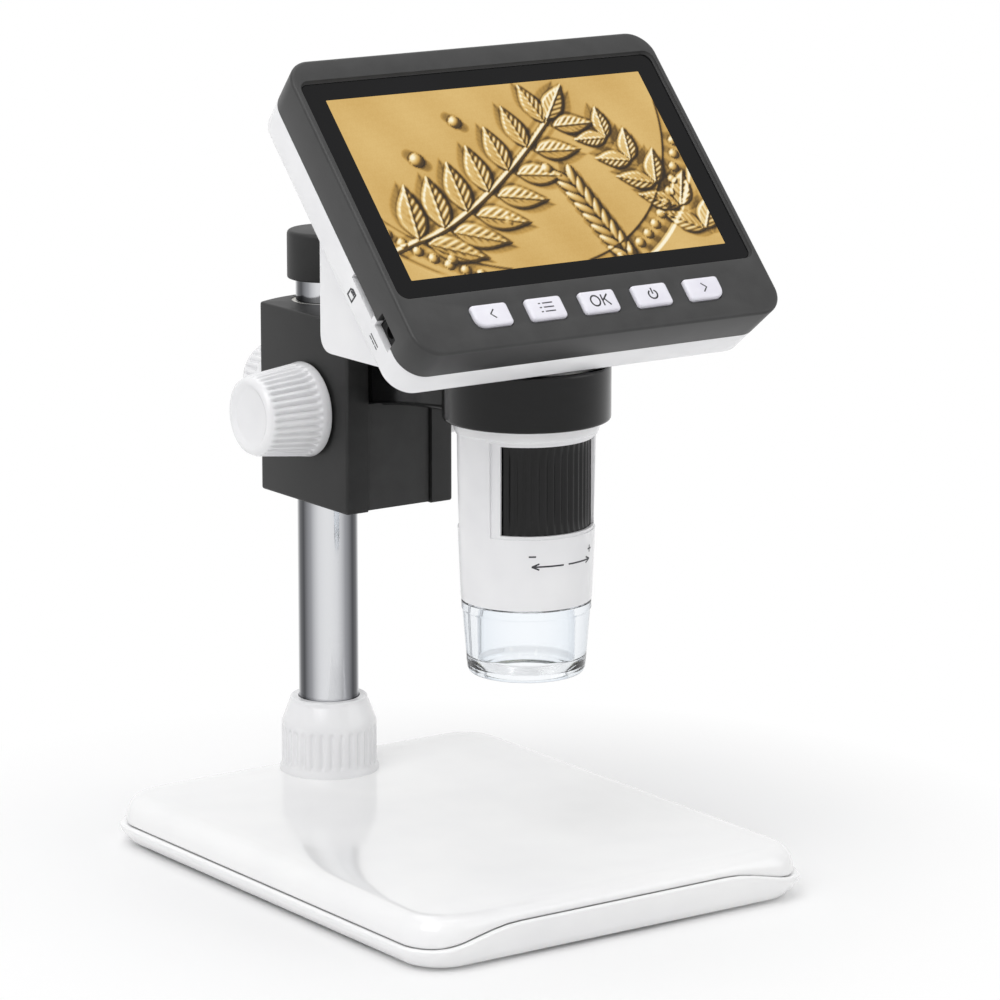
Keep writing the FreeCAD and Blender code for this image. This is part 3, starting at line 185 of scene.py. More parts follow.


# water-clear acrylic of the tip, thick enough to bend what is behind it, with painted grey shade at its edges
def clearAcrylic():
    made, shader = newMaterial("clearAcrylic", "#fbfdff", 0.03, glassIor=1.49)
    bumpFrom(made, shader, noiseAt(made, 5, 2), 0.01)
    spreadRoughness(made, shader, noiseAt(made, 10, 3), (0.015, 0.06))
    # painted shade: the acrylic greys towards its edges, where it turns away from the eye
    paintedFacingLight(made, shader, ((0.0, "#fbfdff"), (0.45, "#eff3f7"), (0.75, "#c3cad2"), (1.0, "#8f979f")))
    return made


# coated optical glass with a faint green-violet bloom
def lensGlass():
    made, shader = newMaterial("lensGlass", "#e8f2ee", 0.02, glassIor=1.6)
    vary(made, shader, noiseAt(made, 12, 1), ("#dff0e8", "#ece6f4"), (0.01, 0.03))
    return made


# the lit display: the picture is the colour attribute that its mesh works out
def pictureMaterial():
    made, shader = newMaterial("litPicture", "#080706", 0.14, shine=0.2)
    paint = addNode(made, "ShaderNodeAttribute", attribute_name="Picture")
    join(made, paint, "Color", shader, "Emission Color")
    shader.inputs["Emission Strength"].default_value = 0.95
    spreadRoughness(made, shader, noiseAt(made, 0.5, 1), (0.1, 0.2))
    return made


# green solder mask over a faint web of copper tracks
def circuitBoard():
    made, shader = newMaterial("circuitBoard", "#0f4a2a", 0.35)
    place = addNode(made, "ShaderNodeTexCoord")
    cells = addNode(made, "ShaderNodeTexVoronoi", Scale=300.0, feature="DISTANCE_TO_EDGE", distance="CHEBYCHEV")
    join(made, place, "Object", cells, "Vector")
    rampColour(made, shader, cells, "Distance", ((0.0, "#2c7a45"), (0.08, "#0d4526")))
    bumpFrom(made, shader, cells, 0.02, output="Distance")
    return made


# yellow phosphor over a white lamp body
def lampMaterial():
    made, shader = newMaterial("lampPhosphor", "#f4ecc0", 0.4)
    vary(made, shader, noiseAt(made, 0.8, 3), ("#f0e29a", "#faf6e0"), (0.3, 0.5))
    shader.inputs["Emission Color"].default_value = srgb("#fffbe8")
    shader.inputs["Emission Strength"].default_value = 1.5
    return made


materials = {
    # glossy white plastic from a polished mould, with a faint flow haze
    "white": finish("whiteMoulding", ("#e6e6e8", "#efeff0"), (0.2, 0.3), (18, 2), (0.004, 0.35, 4), coat=0.25),
    # the base's high gloss white, smooth with a slow waviness where it cooled
    "base": finish("baseMoulding", ("#f2f2f3", "#f8f8f8"), (0.12, 0.22), (30, 2), (0.012, 9, 2), coat=0.5),
    # the stand's black and the screen's dark grey mouldings, the wheel, the keys and the pale bearing parts
    "block": mouldGrain("blockGrain", ("#1f1f1f", "#262626"), (0.42, 0.55)),
    "slider": mouldGrain("sliderGrain", ("#2b2b2b", "#333333"), (0.45, 0.58), 0.25),
    "bezel": mouldGrain("bezelGrain", ("#343434", "#3b3b3b"), (0.36, 0.48), 0.18, 0.006),
    "innerBlack": mouldGrain("innerBlack", ("#0b0b0c", "#151516"), (0.5, 0.7)),
    # the polished black holder ring, with fine turned rings in its sheen
    "gloss": finish("blackGloss", ("#060606", "#0b0b0c"), (0.14, 0.24), (8, 3, (1, 1, 6)),
                    (0.003, 0.6, 3, (0.2, 0.2, 3)), shine=0.3),
    "wheel": mouldGrain("wheelBlack", ("#080808", "#111112"), (0.3, 0.42), 0.4),
    "button": mouldGrain("buttonWhite", ("#e2e0ea", "#ebeaf1"), (0.2, 0.28), 0.5, 0.003),
    "nylon": mouldGrain("paleNylon", ("#dcdad2", "#e8e6df"), (0.4, 0.55)),
    "chrome": chromePlate(),
    "steel": turnedMetal("brightSteel", ("#9d9fa3", "#bcbec2")),
    "brass": turnedMetal("paleBrass", ("#b8964c", "#cfae66")),
    "cell": turnedMetal("cellFoil", ("#a9adb3", "#c5c8cc"), (0.3, 0.45)),
    "clear": clearAcrylic(),
    "lens": lensGlass(),
    # the black print behind the screen's clear plate, deep and glossy
    "window": finish("windowBlack", ("#0a0a0b", "#0e0e10"), (0.08, 0.16), (25, 2), shine=0.14),
    "picture": pictureMaterial(),
    "circuit": circuitBoard(),
    "rubber": softRubber("blackRubber", "#161617"),
    "foam": softRubber("greyFoam", "#3a3a3b"),
    # dark grey pad-printed ink
    "ink": finish("printInk", ("#26262a", "#35353a"), (0.45, 0.6), (1.2, 3)),
    "lamp": lampMaterial(),
}
print("materials made")


# mesh helpers; all take millimetres

def smooth(low, high, value):
    t = max(0.0, min(1.0, (value - low) / (high - low)))
    return t * t * (3 - 2 * t)


def arcPoints(middle, radius, start, end, steps, tall=1.0):
    turns = [math.radians(start + (end - start) * k / steps) for k in range(steps + 1)]
    return [(middle[0] + radius * math.cos(a), middle[1] + tall * radius * math.sin(a)) for a in turns]


# a 2-D outline whose corners (x, y, radius) are rounded
def softCorners(points, steps=4):
    rounded = []
    count = len(points)
    for k, (x, y, radius) in enumerate(points):
        here = Vector((x, y))
        if not radius:
            rounded.append(here)
            continue
        before, after = Vector(points[k - 1][:2]) - here, Vector(points[(k + 1) % count][:2]) - here
        half = before.angle(after) / 2
        reach = min(radius / math.tan(half), before.length * 0.49, after.length * 0.49)
        first, last = here + before.normalized() * reach, here + after.normalized() * reach
        for step in range(steps + 1):
            t = step / steps
            rounded.append(first.lerp(here, t).lerp(here.lerp(last, t), t))
    return rounded


def roundedRect(wide, long, corner, steps=8, middle=(0, 0)):
    corner = max(corner, 0.05)
    points = []
    for quarter, (sx, sy) in enumerate(((1, 1), (-1, 1), (-1, -1), (1, -1))):
        centre = (middle[0] + sx * (wide / 2 - corner), middle[1] + sy * (long / 2 - corner))
        points += arcPoints(centre, corner, 90 * quarter, 90 * quarter + 90, steps)
    return points


# skin rings of points and close both ends
def meshFromRings(rings):
    shape = bmesh.new()
    rows = [[shape.verts.new(Vector(p) * mm) for p in ring] for ring in rings]
    for low, high in zip(rows, rows[1:]):
        for k in range(len(low)):
            after = (k + 1) % len(low)
            shape.faces.new((low[k], low[after], high[after], high[k]))
    shape.faces.new(list(reversed(rows[0])))
    shape.faces.new(rows[-1])
    return outward(shape)


# spins (radius, height) points about Z; ribs(radius, height, angle) is what comes off the radius
def turned(profile, centre=(0, 0), steps=96, ribs=None):
    shape = bmesh.new()
    dots = [shape.verts.new((radius * mm, 0, height * mm)) for radius, height in profile]
    edges = [shape.edges.new(pair) for pair in zip(dots, dots[1:])]
    if profile[0][0] > 0 or profile[-1][0] > 0:
        edges.append(shape.edges.new((dots[-1], dots[0])))
    bmesh.ops.spin(shape, geom=dots + edges, axis=(0, 0, 1), cent=(0, 0, 0), steps=steps,
                   angle=2 * math.pi, use_merge=True)
    bmesh.ops.remove_doubles(shape, verts=shape.verts, dist=0.002 * mm)
    for dot in shape.verts if ribs else ():
        radius = math.hypot(dot.co.x, dot.co.y)
        if radius:
            less = ribs(radius / mm, dot.co.z / mm, math.atan2(dot.co.y, dot.co.x)) * mm
            dot.co.x *= (radius - less) / radius
            dot.co.y *= (radius - less) / radius
    bmesh.ops.translate(shape, verts=shape.verts, vec=(centre[0] * mm, centre[1] * mm, 0))
    return outward(shape)


# stack rounded rectangles given as (wide, long, corner, height)
def layered(sections, steps=8, middle=(0, 0)):
    return meshFromRings([[(x, y, height) for x, y in roundedRect(wide, long, corner, steps, middle)]
                          for wide, long, corner, height in sections])


# a straight-sided block with rounded corners
def softBlock(wide, long, corner, low, high, steps=8, middle=(0, 0)):
    return layered([(wide, long, corner, low), (wide, long, corner, high)], steps, middle)


def prism(outline, low, high):
    shape = bmesh.new()
    floor = shape.faces.new([shape.verts.new((p[0] * mm, p[1] * mm, low * mm)) for p in outline])
    lifted = bmesh.ops.extrude_face_region(shape, geom=[floor])["geom"]
    bmesh.ops.translate(shape, verts=[item for item in lifted if isinstance(item, bmesh.types.BMVert)],
                        vec=(0, 0, (high - low) * mm))
    return outward(shape)


def brick(low, high):
    return prism([(low[0], low[1]), (high[0], low[1]), (high[0], high[1]), (low[0], high[1])], low[2], high[2])


# a rod from start along the axis "X", "Y" or "Z"
def bar(start, along, radius, length, steps=40):
    shape = turned([(0, 0), (radius, 0), (radius, length), (0, length)], steps=steps)
    turns = {"X": spun(90, "Y"), "Y": spun(-90, "X"), "Z": Matrix.Identity(4)}
    return turn(shape, moved(*start) @ turns[along])


def turn(shape, matrix):
    shape.transform(matrix)
    return shape


# bevel the edges sharper than angle, or those that pick chooses
def softEdges(shape, widthMm, pick=None, angle=30):
    edges = [edge for edge in shape.edges if len(edge.link_faces) == 2
             and math.degrees(edge.calc_face_angle(0)) > angle and (pick is None or pick(edge))]
    bmesh.ops.bevel(shape, geom=edges, offset=widthMm * mm, offset_type="OFFSET", segments=3,
                    profile=0.5, affect="EDGES", clamp_overlap=True, material=-1)
    return shape


# faces turned outwards
def outward(shape):
    bmesh.ops.recalc_face_normals(shape, faces=shape.faces)
    return shape


def newObject(name, data):
    item = bpy.data.objects.new(name, data)
    bpy.context.scene.collection.objects.link(item)
    return item


def heldObject(shape, name):
    mesh = bpy.data.meshes.new(name)
    shape.to_mesh(mesh)
    shape.free()
    return newObject(name, mesh)


def addBoolean(base, operation, tool):
    held = heldObject(tool, "tool")
    step = base.modifiers.new(operation, "BOOLEAN")
    step.operation = operation
    step.solver = "EXACT"
    step.object = held
    return held


# what the modifiers make of the first object, as a bmesh; the objects themselves go
def takeResult(helpers):
    graph = bpy.context.evaluated_depsgraph_get()
    mesh = bpy.data.meshes.new_from_object(helpers[0].evaluated_get(graph))
    result = bmesh.new()
    result.from_mesh(mesh)
    bpy.data.meshes.remove(mesh)
    for held in helpers:
        data = held.data
        bpy.data.objects.remove(held)
        bpy.data.meshes.remove(data)
    return result


# join and cut shapes and break the sharp edges
def solidWork(shape, cuts=(), adds=(), edgeMm=0.0, edgeAngle=35):
    base = heldObject(shape, "work")
    helpers = [base] + [addBoolean(base, "UNION", tool) for tool in adds]
    helpers += [addBoolean(base, "DIFFERENCE", tool) for tool in cuts]
    if edgeMm:
        soft = base.modifiers.new("soft", "BEVEL")
        soft.width = edgeMm * mm
        soft.segments = 3
        soft.limit_method = "ANGLE"
        soft.angle_limit = math.radians(edgeAngle)
    result = takeResult(helpers)
    bmesh.ops.triangulate(result, faces=[face for face in result.faces if len(face.verts) > 4])
    return result


def intersection(first, second):
    base = heldObject(first, "work")
    return takeResult([base, addBoolean(base, "INTERSECT", second)])


# make the piece, give it its material, and say which body carries it and which nodes it stands for
def addPiece(name, shape, body, look, nodes=(), sharpAngle=32):
    piece = heldObject(shape, name)
    piece.data.materials.append(materials[look])
    piece.data.shade_smooth()
    piece.data.set_sharp_from_angle(angle=math.radians(sharpAngle))
    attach(piece, body)
    if nodes:
        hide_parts(*nodes)
    return piece


# base: a soft pillow over a tray whose rim stands proud and climbs at the front

base = {"wide": 122.0, "long": 152.0, "middle": -6.0, "corner": 13.0, "lean": 3.3, "show": 0.8, "sideSeam": 6.2,
        "frontSeam": 10.2, "roll": 5.0}


# the crease lies low along the sides and climbs along the front and back edges
def seamHeight(x, y):
    climb = smooth(0, 26, base["wide"] / 2 - 3 - abs(x))
    ends = max(0.0, min(1.0, (abs(y - base["middle"]) - base["long"] / 2 + 9) / 6))
    return base["sideSeam"] + (base["frontSeam"] - base["sideSeam"]) * climb * ends


def baseRing(inset, heightOf, steps=14):
    ring = []
    corner = max(2.0, base["corner"] - inset * 0.8)
    outline = roundedRect(base["wide"] - 2 * inset, base["long"] - 2 * inset, corner, steps, (0, base["middle"]))
    for point, after in zip(outline, outline[1:] + outline[:1]):
        pieces = 24 if math.dist(point, after) > 20 else 1  # the straight runs are split to follow the seam
        for part in range(pieces):
            t = part / pieces
            x, y = point[0] + (after[0] - point[0]) * t, point[1] + (after[1] - point[1]) * t
            ring.append((x, y, heightOf(x, y)))
    return ring


def baseTray():
    show, lean = base["show"], base["lean"]
    rings = [baseRing(lean + inset, lambda x, y, r=rise: show + r)
             for inset, rise in ((1.2, 0), (0.3, 0.1), (-0.3, 0.5))]
    rings += [baseRing(lean * (1 - share) ** 1.2, lambda x, y, s=share: show + (seamHeight(x, y) - 1.2 - show) * s)
              for share in (0.3, 0.6, 0.85)]
    rings += [baseRing(inset, lambda x, y, d=drop: seamHeight(x, y) - d)
              for inset, drop in ((0.02, 0.9), (0.1, 0.45), (0.5, 0.12), (1.2, 0.1), (2.4, 0.6))]
    shape = meshFromRings(rings)
    holes = [bar((0, stand["poleY"], 0.2), "Z", 6.8, 4.8)]
    for sx in (-1, 1):
        for sy in (-1, 1):
            holes.append(bar((sx * 46, sy * 61 + base["middle"], 0.2), "Z", 2.75, 3.1))
            holes.append(bar((sx * 37, sy * 61 + base["middle"], 0.2), "Z", 5.0, 1.2))
    return solidWork(shape, cuts=holes)


def baseTop():
    rings = [baseRing(inset, lambda x, y, r=rise: seamHeight(x, y) + r)
             for inset, rise in ((2.6, -0.5), (1.9, -0.05), (1.65, 0.25))]
    for angle in range(0, 91, 10):
        rise = math.sin(math.radians(angle))
        inset = 1.6 + base["roll"] * (1 - math.cos(math.radians(angle))) ** 1.1
        rings.append(baseRing(inset, lambda x, y, s=rise: seamHeight(x, y) + 0.6
                              + (stand["baseTop"] - 0.35 - seamHeight(x, y) - 0.6) * s))
    for inset, drop in ((8.2, 0.2), (10, 0.1), (13, 0.02), (16, 0)):
        rings.append(baseRing(inset, lambda x, y, d=drop: stand["baseTop"] - d))
    shape = meshFromRings(rings)
    bmesh.ops.triangulate(shape, faces=[face for face in shape.faces if len(face.verts) > 4])
    return shape


addPiece("baseTray", baseTray(), "stand", "base", ["base_tray"], 40)
addPiece("baseTop", baseTop(), "stand", "base", ["base_top_shell"], 40)
print("base made")


# pole, collar and cap

def poleTube():
    return turned([(6.8, 7.5), (8.0, 7.5), (8.0, 158.2), (7.7, 158.5), (6.8, 158.5)], poleAxis, 128)


collar = {"ribs": 30, "depth": 0.55, "low": 16.0, "high": 26.4}


# flutes between low and high, on what lies beyond a radius: the land is broad and the groove round
def ribWave(count, depth, low, high, beyond, blend=0.8, sharp=0.55):
    def cut(radius, height, angle):
        if radius <= beyond:
            return 0
        inside = max(0.0, min(1.0, (height - low) / blend, (high - height) / blend))
        wave = (math.cos(angle * count) + 1) / 2
        return depth * inside * wave ** (1 / sharp)
    return cut


def poleCollar():
    outline = [(8.06, 14.0), (13.3, 14.0), (13.3, 14.9), (12.8, 15.5)]
    outline += [(12.75, collar["low"] + 0.55 * k) for k in range(20)]
    outline += [(12.7, 27.4), (12.35, 28.3), (10.75, 32.6), (10.4, 33.2), (10.35, 33.9), (10.05, 34.2), (8.3, 34.2),
                (8.06, 33.9)]
    wave = ribWave(collar["ribs"], collar["depth"], collar["low"], collar["high"], 12)
    return turned(outline, poleAxis, 300, wave)


def poleCap():
    outline = softCorners([(0.0, 158.6, 0), (8.06, 158.6, 0), (8.06, 147.7, 0.2), (10.2, 147.7, 0.5),
                           (10.2, 160.5, 1.3), (0.0, 160.5, 0)], 5)
    return turned(outline, poleAxis, 96)


addPiece("poleTube", poleTube(), "stand", "chrome", ["pole_tube"])
addPiece("poleCollar", poleCollar(), "stand", "white", ["pole_collar"], 40)
addPiece("poleCap", poleCap(), "stand", "block", ["pole_cap"])
print("pole made")


# focusing block: a moulded housing with a slot for the slider and a boss for the clamp

block = {"half": 16.6, "front": 18.0, "side": 59.2, "apex": 63.6, "low": 91.6, "high": 141.8}


def blockOutline():
    half, front, side, apex = block["half"], block["front"], block["side"], block["apex"]
    rise = apex - side
    radius = (half * half + rise * rise) / (2 * rise)
    sweep = math.degrees(math.asin(half / radius))
    back = arcPoints((0, apex - radius), radius, 90 - sweep, 90 + sweep, 20)
    return [(half, front)] + back + [(-half, front)]


def blockHousing():
    shape = prism(list(reversed(blockOutline())), block["low"], block["high"])
    softEdges(shape, 0.9, lambda edge: abs(edge.verts[0].co.z - edge.verts[1].co.z) > 0.01)
    softEdges(shape, 0.6, lambda edge: abs(edge.verts[0].co.z - edge.verts[1].co.z) < 0.001, angle=60)
    boss = turn(turned([(0, 0), (6.5, 0), (6.5, 9.2), (6.1, 9.6), (0, 9.6)], steps=64),
                moved(0, 58, stand["clampZ"]) @ spun(-90, "X"))
    low, high = block["low"] - 1, block["high"] + 1
    cuts = [
        bar((0, stand["poleY"], low), "Z", 9.12, high - low, 64),
        bar((0, stand["poleY"], low), "Z", 11.56, 2.5, 64),
        brick((-10, 16, low), (10, 23, high)),
        brick((-13.72, 22, low), (13.72, 26.32, high)),
        brick((-4.3, 26, low), (4.3, 32.0, high)),
        bar((-4.3, stand["focusY"], stand["clampZ"]), "X", 6.1, 8.6, 48),
        bar((-18, stand["focusY"], stand["clampZ"]), "X", 4.02, 36, 40),
        bar((0, stand["poleY"], stand["clampZ"]), "Y", 4.02, 20, 40),
    ]
    return solidWork(shape, cuts, [boss], 0.3, 50)


addPiece("blockHousing", blockHousing(), "block", "block", ["block_housing"])


def sliderPlate():
    low, high = 91.9, 141.5
    tongue = brick((-9.6, 19.0, low), (9.6, 23.0, high))
    wings = brick((-12.8, 22.06, low), (12.8, 26.26, high))
    seats = [brick((-4, 24.76, low - 1), (4, 28, high + 1))]
    for sx in (-1, 1):
        for z in (125, 134):
            seats.append(bar((sx * 6.6, 18, z), "Y", 1.27, 12, 24))
            seats.append(bar((sx * 6.6, 24.26, z), "Y", 2.22, 4, 32))
    return solidWork(tongue, seats, [wings], 0.35, 50)


addPiece("sliderPlate", sliderPlate(), "carriage", "slider", ["slider_plate"])
print("block made")


# holder ring and its arm

ring = {"outer": 21.2, "bore": 19.4, "low": 124.8, "high": 139.0, "armHalf": 9.6}


def armAndRing():
    outline = softCorners([(ring["bore"], ring["low"], 0.4), (ring["outer"], ring["low"], 0.9),
                           (ring["outer"], ring["high"], 0.9), (ring["bore"], ring["high"], 0.4)])
    band = turned(outline, barrelAxis, 160)
    # the underside is one curve from the root, by the bend, to the ring
    root, bend, end = (18.95, 119.8), (8.0, 123.6), (-19.5, ring["low"])
    outline = [root]
    for k in range(1, 12):
        t = k / 12
        outline.append([(1 - t) ** 2 * a + 2 * t * (1 - t) * b + t * t * c for a, b, c in zip(root, bend, end)])
    outline += [end, (-19.5, 138.0), (18.95, 138.0)]
    arm = turn(prism(outline, -ring["armHalf"], ring["armHalf"]), ontoSide)
    softEdges(arm, 1.0, angle=40)
    bore = bar((0, stand["barrelY"], ring["low"] - 5), "Z", ring["bore"], 30, 160)
    return solidWork(band, [bore], [arm], 0.2, 60)


addPiece("armRing", armAndRing(), "carriage", "gloss", ["arm_ring"])


# knobs: a smooth lip, broad flutes and a dished, softly domed end

knob = {"focus": (18.0, 12.5, 10.4, 36), "clamp": (11.8, 11.5, 9.8, 32), "depth": 0.75, "gap": 0.6, "clampY": 68.0}


def knobShape(long, big, small, flutes):
    slope = (big - small) / long
    gripStart, gripEnd, rows = 3.2, long - 1.8, 14
    outline = [(0, 7.9), (2.52, 7.9), (2.52, 0.15), (big - 0.9, 0.0), (big - 0.25, 0.25), (big, 0.9),
               (big - slope * 2.6, 2.6), (big - slope * 2.9 - 0.05, 2.95)]
    grip = [gripStart + (gripEnd - gripStart) * k / rows for k in range(rows + 1)]
    outline += [(big - slope * height, height) for height in grip]
    outline += [(small - inset, long - drop) for inset, drop in (
        (0.1, 1.2), (0.45, 0.5), (1.1, 0.1), (1.6, 0), (2.2, 0.15), (2.9, 0.7), (3.6, 0.95))] + [(0, long - 0.85)]
    wave = ribWave(flutes, knob["depth"], gripStart - 0.3, gripEnd + 0.3, small - 0.3, 0.9, 0.7)
    return turned(outline, steps=flutes * 10, ribs=wave)


for side, sign in (("Left", -1), ("Right", 1)):
    place = moved(sign * (block["half"] + knob["gap"]), stand["focusY"], stand["clampZ"]) @ spun(90 * sign, "Y")
    addPiece("focusKnob" + side, turn(knobShape(*knob["focus"]), place), "focus",
             "white", ["focus_knob_" + side.lower()], 40)
clampPlace = moved(0, knob["clampY"], stand["clampZ"]) @ spun(-90, "X")
addPiece("clampKnob", turn(knobShape(*knob["clamp"]), clampPlace), "clamp", "white",
         ["clamp_knob"], 40)
print("knobs made")


# barrel: a tapered white tube with a window onto the focus wheel

barrel = {"low": 78.8, "taperLow": 79.3, "taperHigh": 121.6, "lowRadius": 16.55, "radius": 17.8, "neck": 18.3,
          "windowLow": 98.0, "windowHigh": 120.6, "windowHalf": 58.0, "padHalf": 67.0}


# the skin's radius at a share of the taper's height
def taperRadius(share):
    return barrel["lowRadius"] + (barrel["radius"] - barrel["lowRadius"]) * (1 - (1 - share) ** 1.6)


# a wedge of the barrel seen from its axis, with its flat ends at low and high
def sector(half, low, high, radius, facing):
    outline = [(0, 0)] + arcPoints((0, 0), radius, facing - half, facing + half, 24)
    return turn(prism(outline, low, high), moved(*barrelAxis, 0))


def barrelShell():
    low, high = barrel["taperLow"], barrel["taperHigh"]
    outline = [(14.6, barrel["low"]), (16.2, barrel["low"]), (16.45, barrel["low"] + 0.1), (barrel["lowRadius"], low)]
    outline += [(taperRadius(k / 16), low + (high - low) * k / 16) for k in range(1, 16)]
    outline += [(barrel["radius"], 121.8), (17.86, 122.0), (18.2, 122.2), (barrel["neck"], 122.6),
                (barrel["neck"], 144.8), (21.8, 144.8), (21.8, 146.8), (16.2, 146.8), (16.2, 97.3), (13.0, 97.3),
                (13.0, 89.2), (14.6, 89.2)]
    shape = turned(outline, barrelAxis, 160)
    cuts = []
    for facing in (-90, 90):
        relief = turned([(16.95, 97.2), (30, 97.2), (30, 121.4), (16.95, 121.4)], barrelAxis, 160)
        cuts.append(intersection(relief, sector(barrel["padHalf"], 90, 130, 26, facing)))
        cuts.append(sector(barrel["windowHalf"], barrel["windowLow"], barrel["windowHigh"], 24, facing))
    return solidWork(shape, cuts, (), 0.22, 40)


addPiece("barrelShell", barrelShell(), "head", "white", ["barrel_shell"], 34)


def focusWheel():
    outline = [(13.0, 97.6), (15.5, 97.6), (15.9, 98.0)]
    outline += [(15.9, 98.4 + (120.2 - 98.4) * k / 8) for k in range(9)]
    outline += [(15.9, 120.6), (15.5, 121.0), (13.0, 121.0)]
    return turned(outline, barrelAxis, 480, ribWave(48, 0.5, 98.2, 120.4, 15, 0.5, 0.8))


addPiece("focusWheel", focusWheel(), "wheel", "wheel", ["focus_wheel"], 40)


def neckRing():
    shape = turned([(18.33, 139.3), (21.0, 139.3), (21.2, 139.5), (21.2, 142.7), (18.33, 142.7)], barrelAxis, 128)
    above = turn(brick((-60, -60, slab["back"]), (60, 60, 30)), slabPlace)
    return solidWork(shape, [above])


addPiece("neckRing", neckRing(), "head", "gloss", ["neck_ring"])


# clear tip: a thick cup with an open mouth and rounded lower edge

tip = {"top": 78.5, "low": 59.8, "topRadius": 16.4, "footRadius": 15.0, "bore": 12.6, "mouth": 10.4}


def clearTip():
    outline = softCorners([
        (tip["mouth"], tip["low"], 0.5), (tip["footRadius"] - 0.25, tip["low"], 2.6),
        (tip["footRadius"] + 0.12, 63.2, 0.9), (tip["topRadius"] - 0.25, tip["top"] - 2.4, 0.3),
        (tip["topRadius"], tip["top"] - 2.0, 0.3), (tip["topRadius"], tip["top"], 0.25),
        (14.5, tip["top"], 0.1), (14.5, tip["top"] + 5.7, 0.3), (tip["bore"], tip["top"] + 5.7, 0.3),
        (tip["bore"] - 0.4, 64.2, 1.6), (tip["mouth"], 61.6, 0.5)], 5)
    return turned(outline, barrelAxis, 144)


addPiece("clearTip", clearTip(), "tip", "clear", ["clear_tip"], 45)
print("barrel made")


# screen housing: a drafted slab with a flared foot that carries the barrel

def slabSize(depth):
    less = 2 * (slab["front"] - depth) * math.tan(math.radians(slab["draft"]))
    return slab["wide"] - less, slab["long"] - less


# the angles of a rounded edge, or the one angle of a sharp edge
def edgeAngles(size, sharp):
    return [math.radians(angle) for angle in (range(0, 91, 15) if size else (sharp,))]


def slabSections(start, end, startRound=0.0, endRound=0.0):
    places = [(endRound * (1 - math.sin(a)), end + endRound * (1 - math.cos(a))) for a in edgeAngles(endRound, 90)]
    places += [(startRound * (1 - math.cos(a)), start - startRound * (1 - math.sin(a)))
               for a in edgeAngles(startRound, 0)]
    return [(slabSize(depth)[0] - 2 * inset, slabSize(depth)[1] - 2 * inset, slab["corner"] - inset, depth)
            for inset, depth in places]


buttonRow = {"wide": 10.6, "long": 6.3, "pitch": 16.03, "right": 1.05, "drop": 40.0, "corner": 1.1, "sweep": 4.6,
             "gap": 0.2}
sideSockets = {"jack": (-35.0, 7.6, -11.5, 4.9), "card": (-23.0, 12.0, -11.5, 1.5)}


def buttonOutline(index, grow=0.0):
    x = buttonRow["right"] + (index - 2) * buttonRow["pitch"]
    west, east = x - buttonRow["wide"] / 2 - grow, x + buttonRow["wide"] / 2 + grow
    south = -buttonRow["drop"] - buttonRow["long"] / 2 - grow
    north = -buttonRow["drop"] + buttonRow["long"] / 2 + grow
    small = max(buttonRow["corner"] + grow, 0.05)
    lowLeft = buttonRow["sweep"] + grow if index == 0 else small
    lowRight = buttonRow["sweep"] + grow if index == 4 else small
    return softCorners([(west, south, lowLeft), (east, south, lowRight), (east, north, small),
                        (west, north, small)], 8)


def sideMouths():
    return [brick((-60, along - wide / 2 - 0.2, depth - 0.2), (-49.5, along + wide / 2 + 0.2, depth + tall + 0.2))
            for along, wide, depth, tall in sideSockets.values()]


def bezelShape():
    shape = layered(slabSections(slab["front"], slab["seam"], 1.0), 12, slabCentre)
    wide, long = slabSize(slab["seam"])
    room = softBlock(wide - 3.6, long - 3.6, 5.2, slab["seam"] - 1, -2.7, 8, slabCentre)
    recess = layered([(106.44, 64.06, 2.4, -1.2), (106.44, 64.06, 2.4, 0.1), (107.3, 64.9, 2.8, 0.75),
                      (107.9, 65.5, 3.0, 3.0)], 8)
    view = softBlock(97.04, 55.86, 0.8, -6, 2, 4)
    cuts = [room, recess, view] + sideMouths()
    cuts += [prism(buttonOutline(index, buttonRow["gap"]), -6, 4) for index in range(5)]
    return turn(solidWork(shape, cuts, (), 0.16, 50), slabPlace)


addPiece("screenBezel", bezelShape(), "head", "bezel", ["bezel"], 30)


wedge = {"half": 45.0, "flare": 7.0, "deep": 11.0, "back": -13.4, "low": 142.8, "round": 5.0}


# half-width of the foot at each depth: steep below, sweeping out to the slab
def flareOutline(shrink, front):
    right = [(wedge["half"] - shrink, slab["back"] - 45)]
    for k in range(15):
        t = math.radians(90 * k / 14)
        right.append((wedge["half"] + wedge["flare"] * (1 - math.cos(t)) - shrink,
                      slab["back"] - wedge["deep"] + wedge["deep"] * math.sin(t)))
    right.append((right[-1][0], front))
    return right + [(-x, depth) for x, depth in reversed(right)]


def wedgeShape(shrink, front):
    outline = flareOutline(shrink, front)
    upright = Matrix(((1, 0, 0, 0), (0, 0, -1, 0), (0, 1, 0, 0), (0, 0, 0, 1)))  # x, y to x, -z
    flare = outward(turn(prism(outline, -56, 56), slabPlace @ upright))
    back, low = wedge["back"] - shrink, wedge["low"] + shrink
    side = softCorners([(back, low, wedge["round"] - shrink), (back, 206.6, 0), (-58.3, 206.6, 0),
                        (-83.3, low, 0)], 8)
    return flare, outward(turn(prism(side, -70, 70), ontoSide))


def rearShell():
    outer = turn(layered(slabSections(slab["seam"], slab["back"], 0, 1.6), 12, slabCentre), slabPlace)
    foot = intersection(*wedgeShape(0, slab["back"] + 0.5))
    wide, long = slabSize(slab["back"])
    cavity = turn(softBlock(wide - 3.6, long - 3.6, 5.2, slab["back"] + 1.8, -8, 8, slabCentre), slabPlace)
    room = intersection(*wedgeShape(2.0, slab["back"] + 3.0))
    cuts = [cavity, room] + [turn(item, slabPlace) for item in sideMouths()]
    cuts.append(bar((0, stand["barrelY"], 137), "Z", 18.34, 9, 128))
    for sx in (-1, 1):
        for along in (34.2, -41.8):
            hole = bar((sx * 48, along, slab["back"] - 14), "Z", 2.0, 15.5, 32)
            cuts.append(turn(hole, slabPlace))
    return solidWork(outer, cuts, [foot], 0.25, 50)


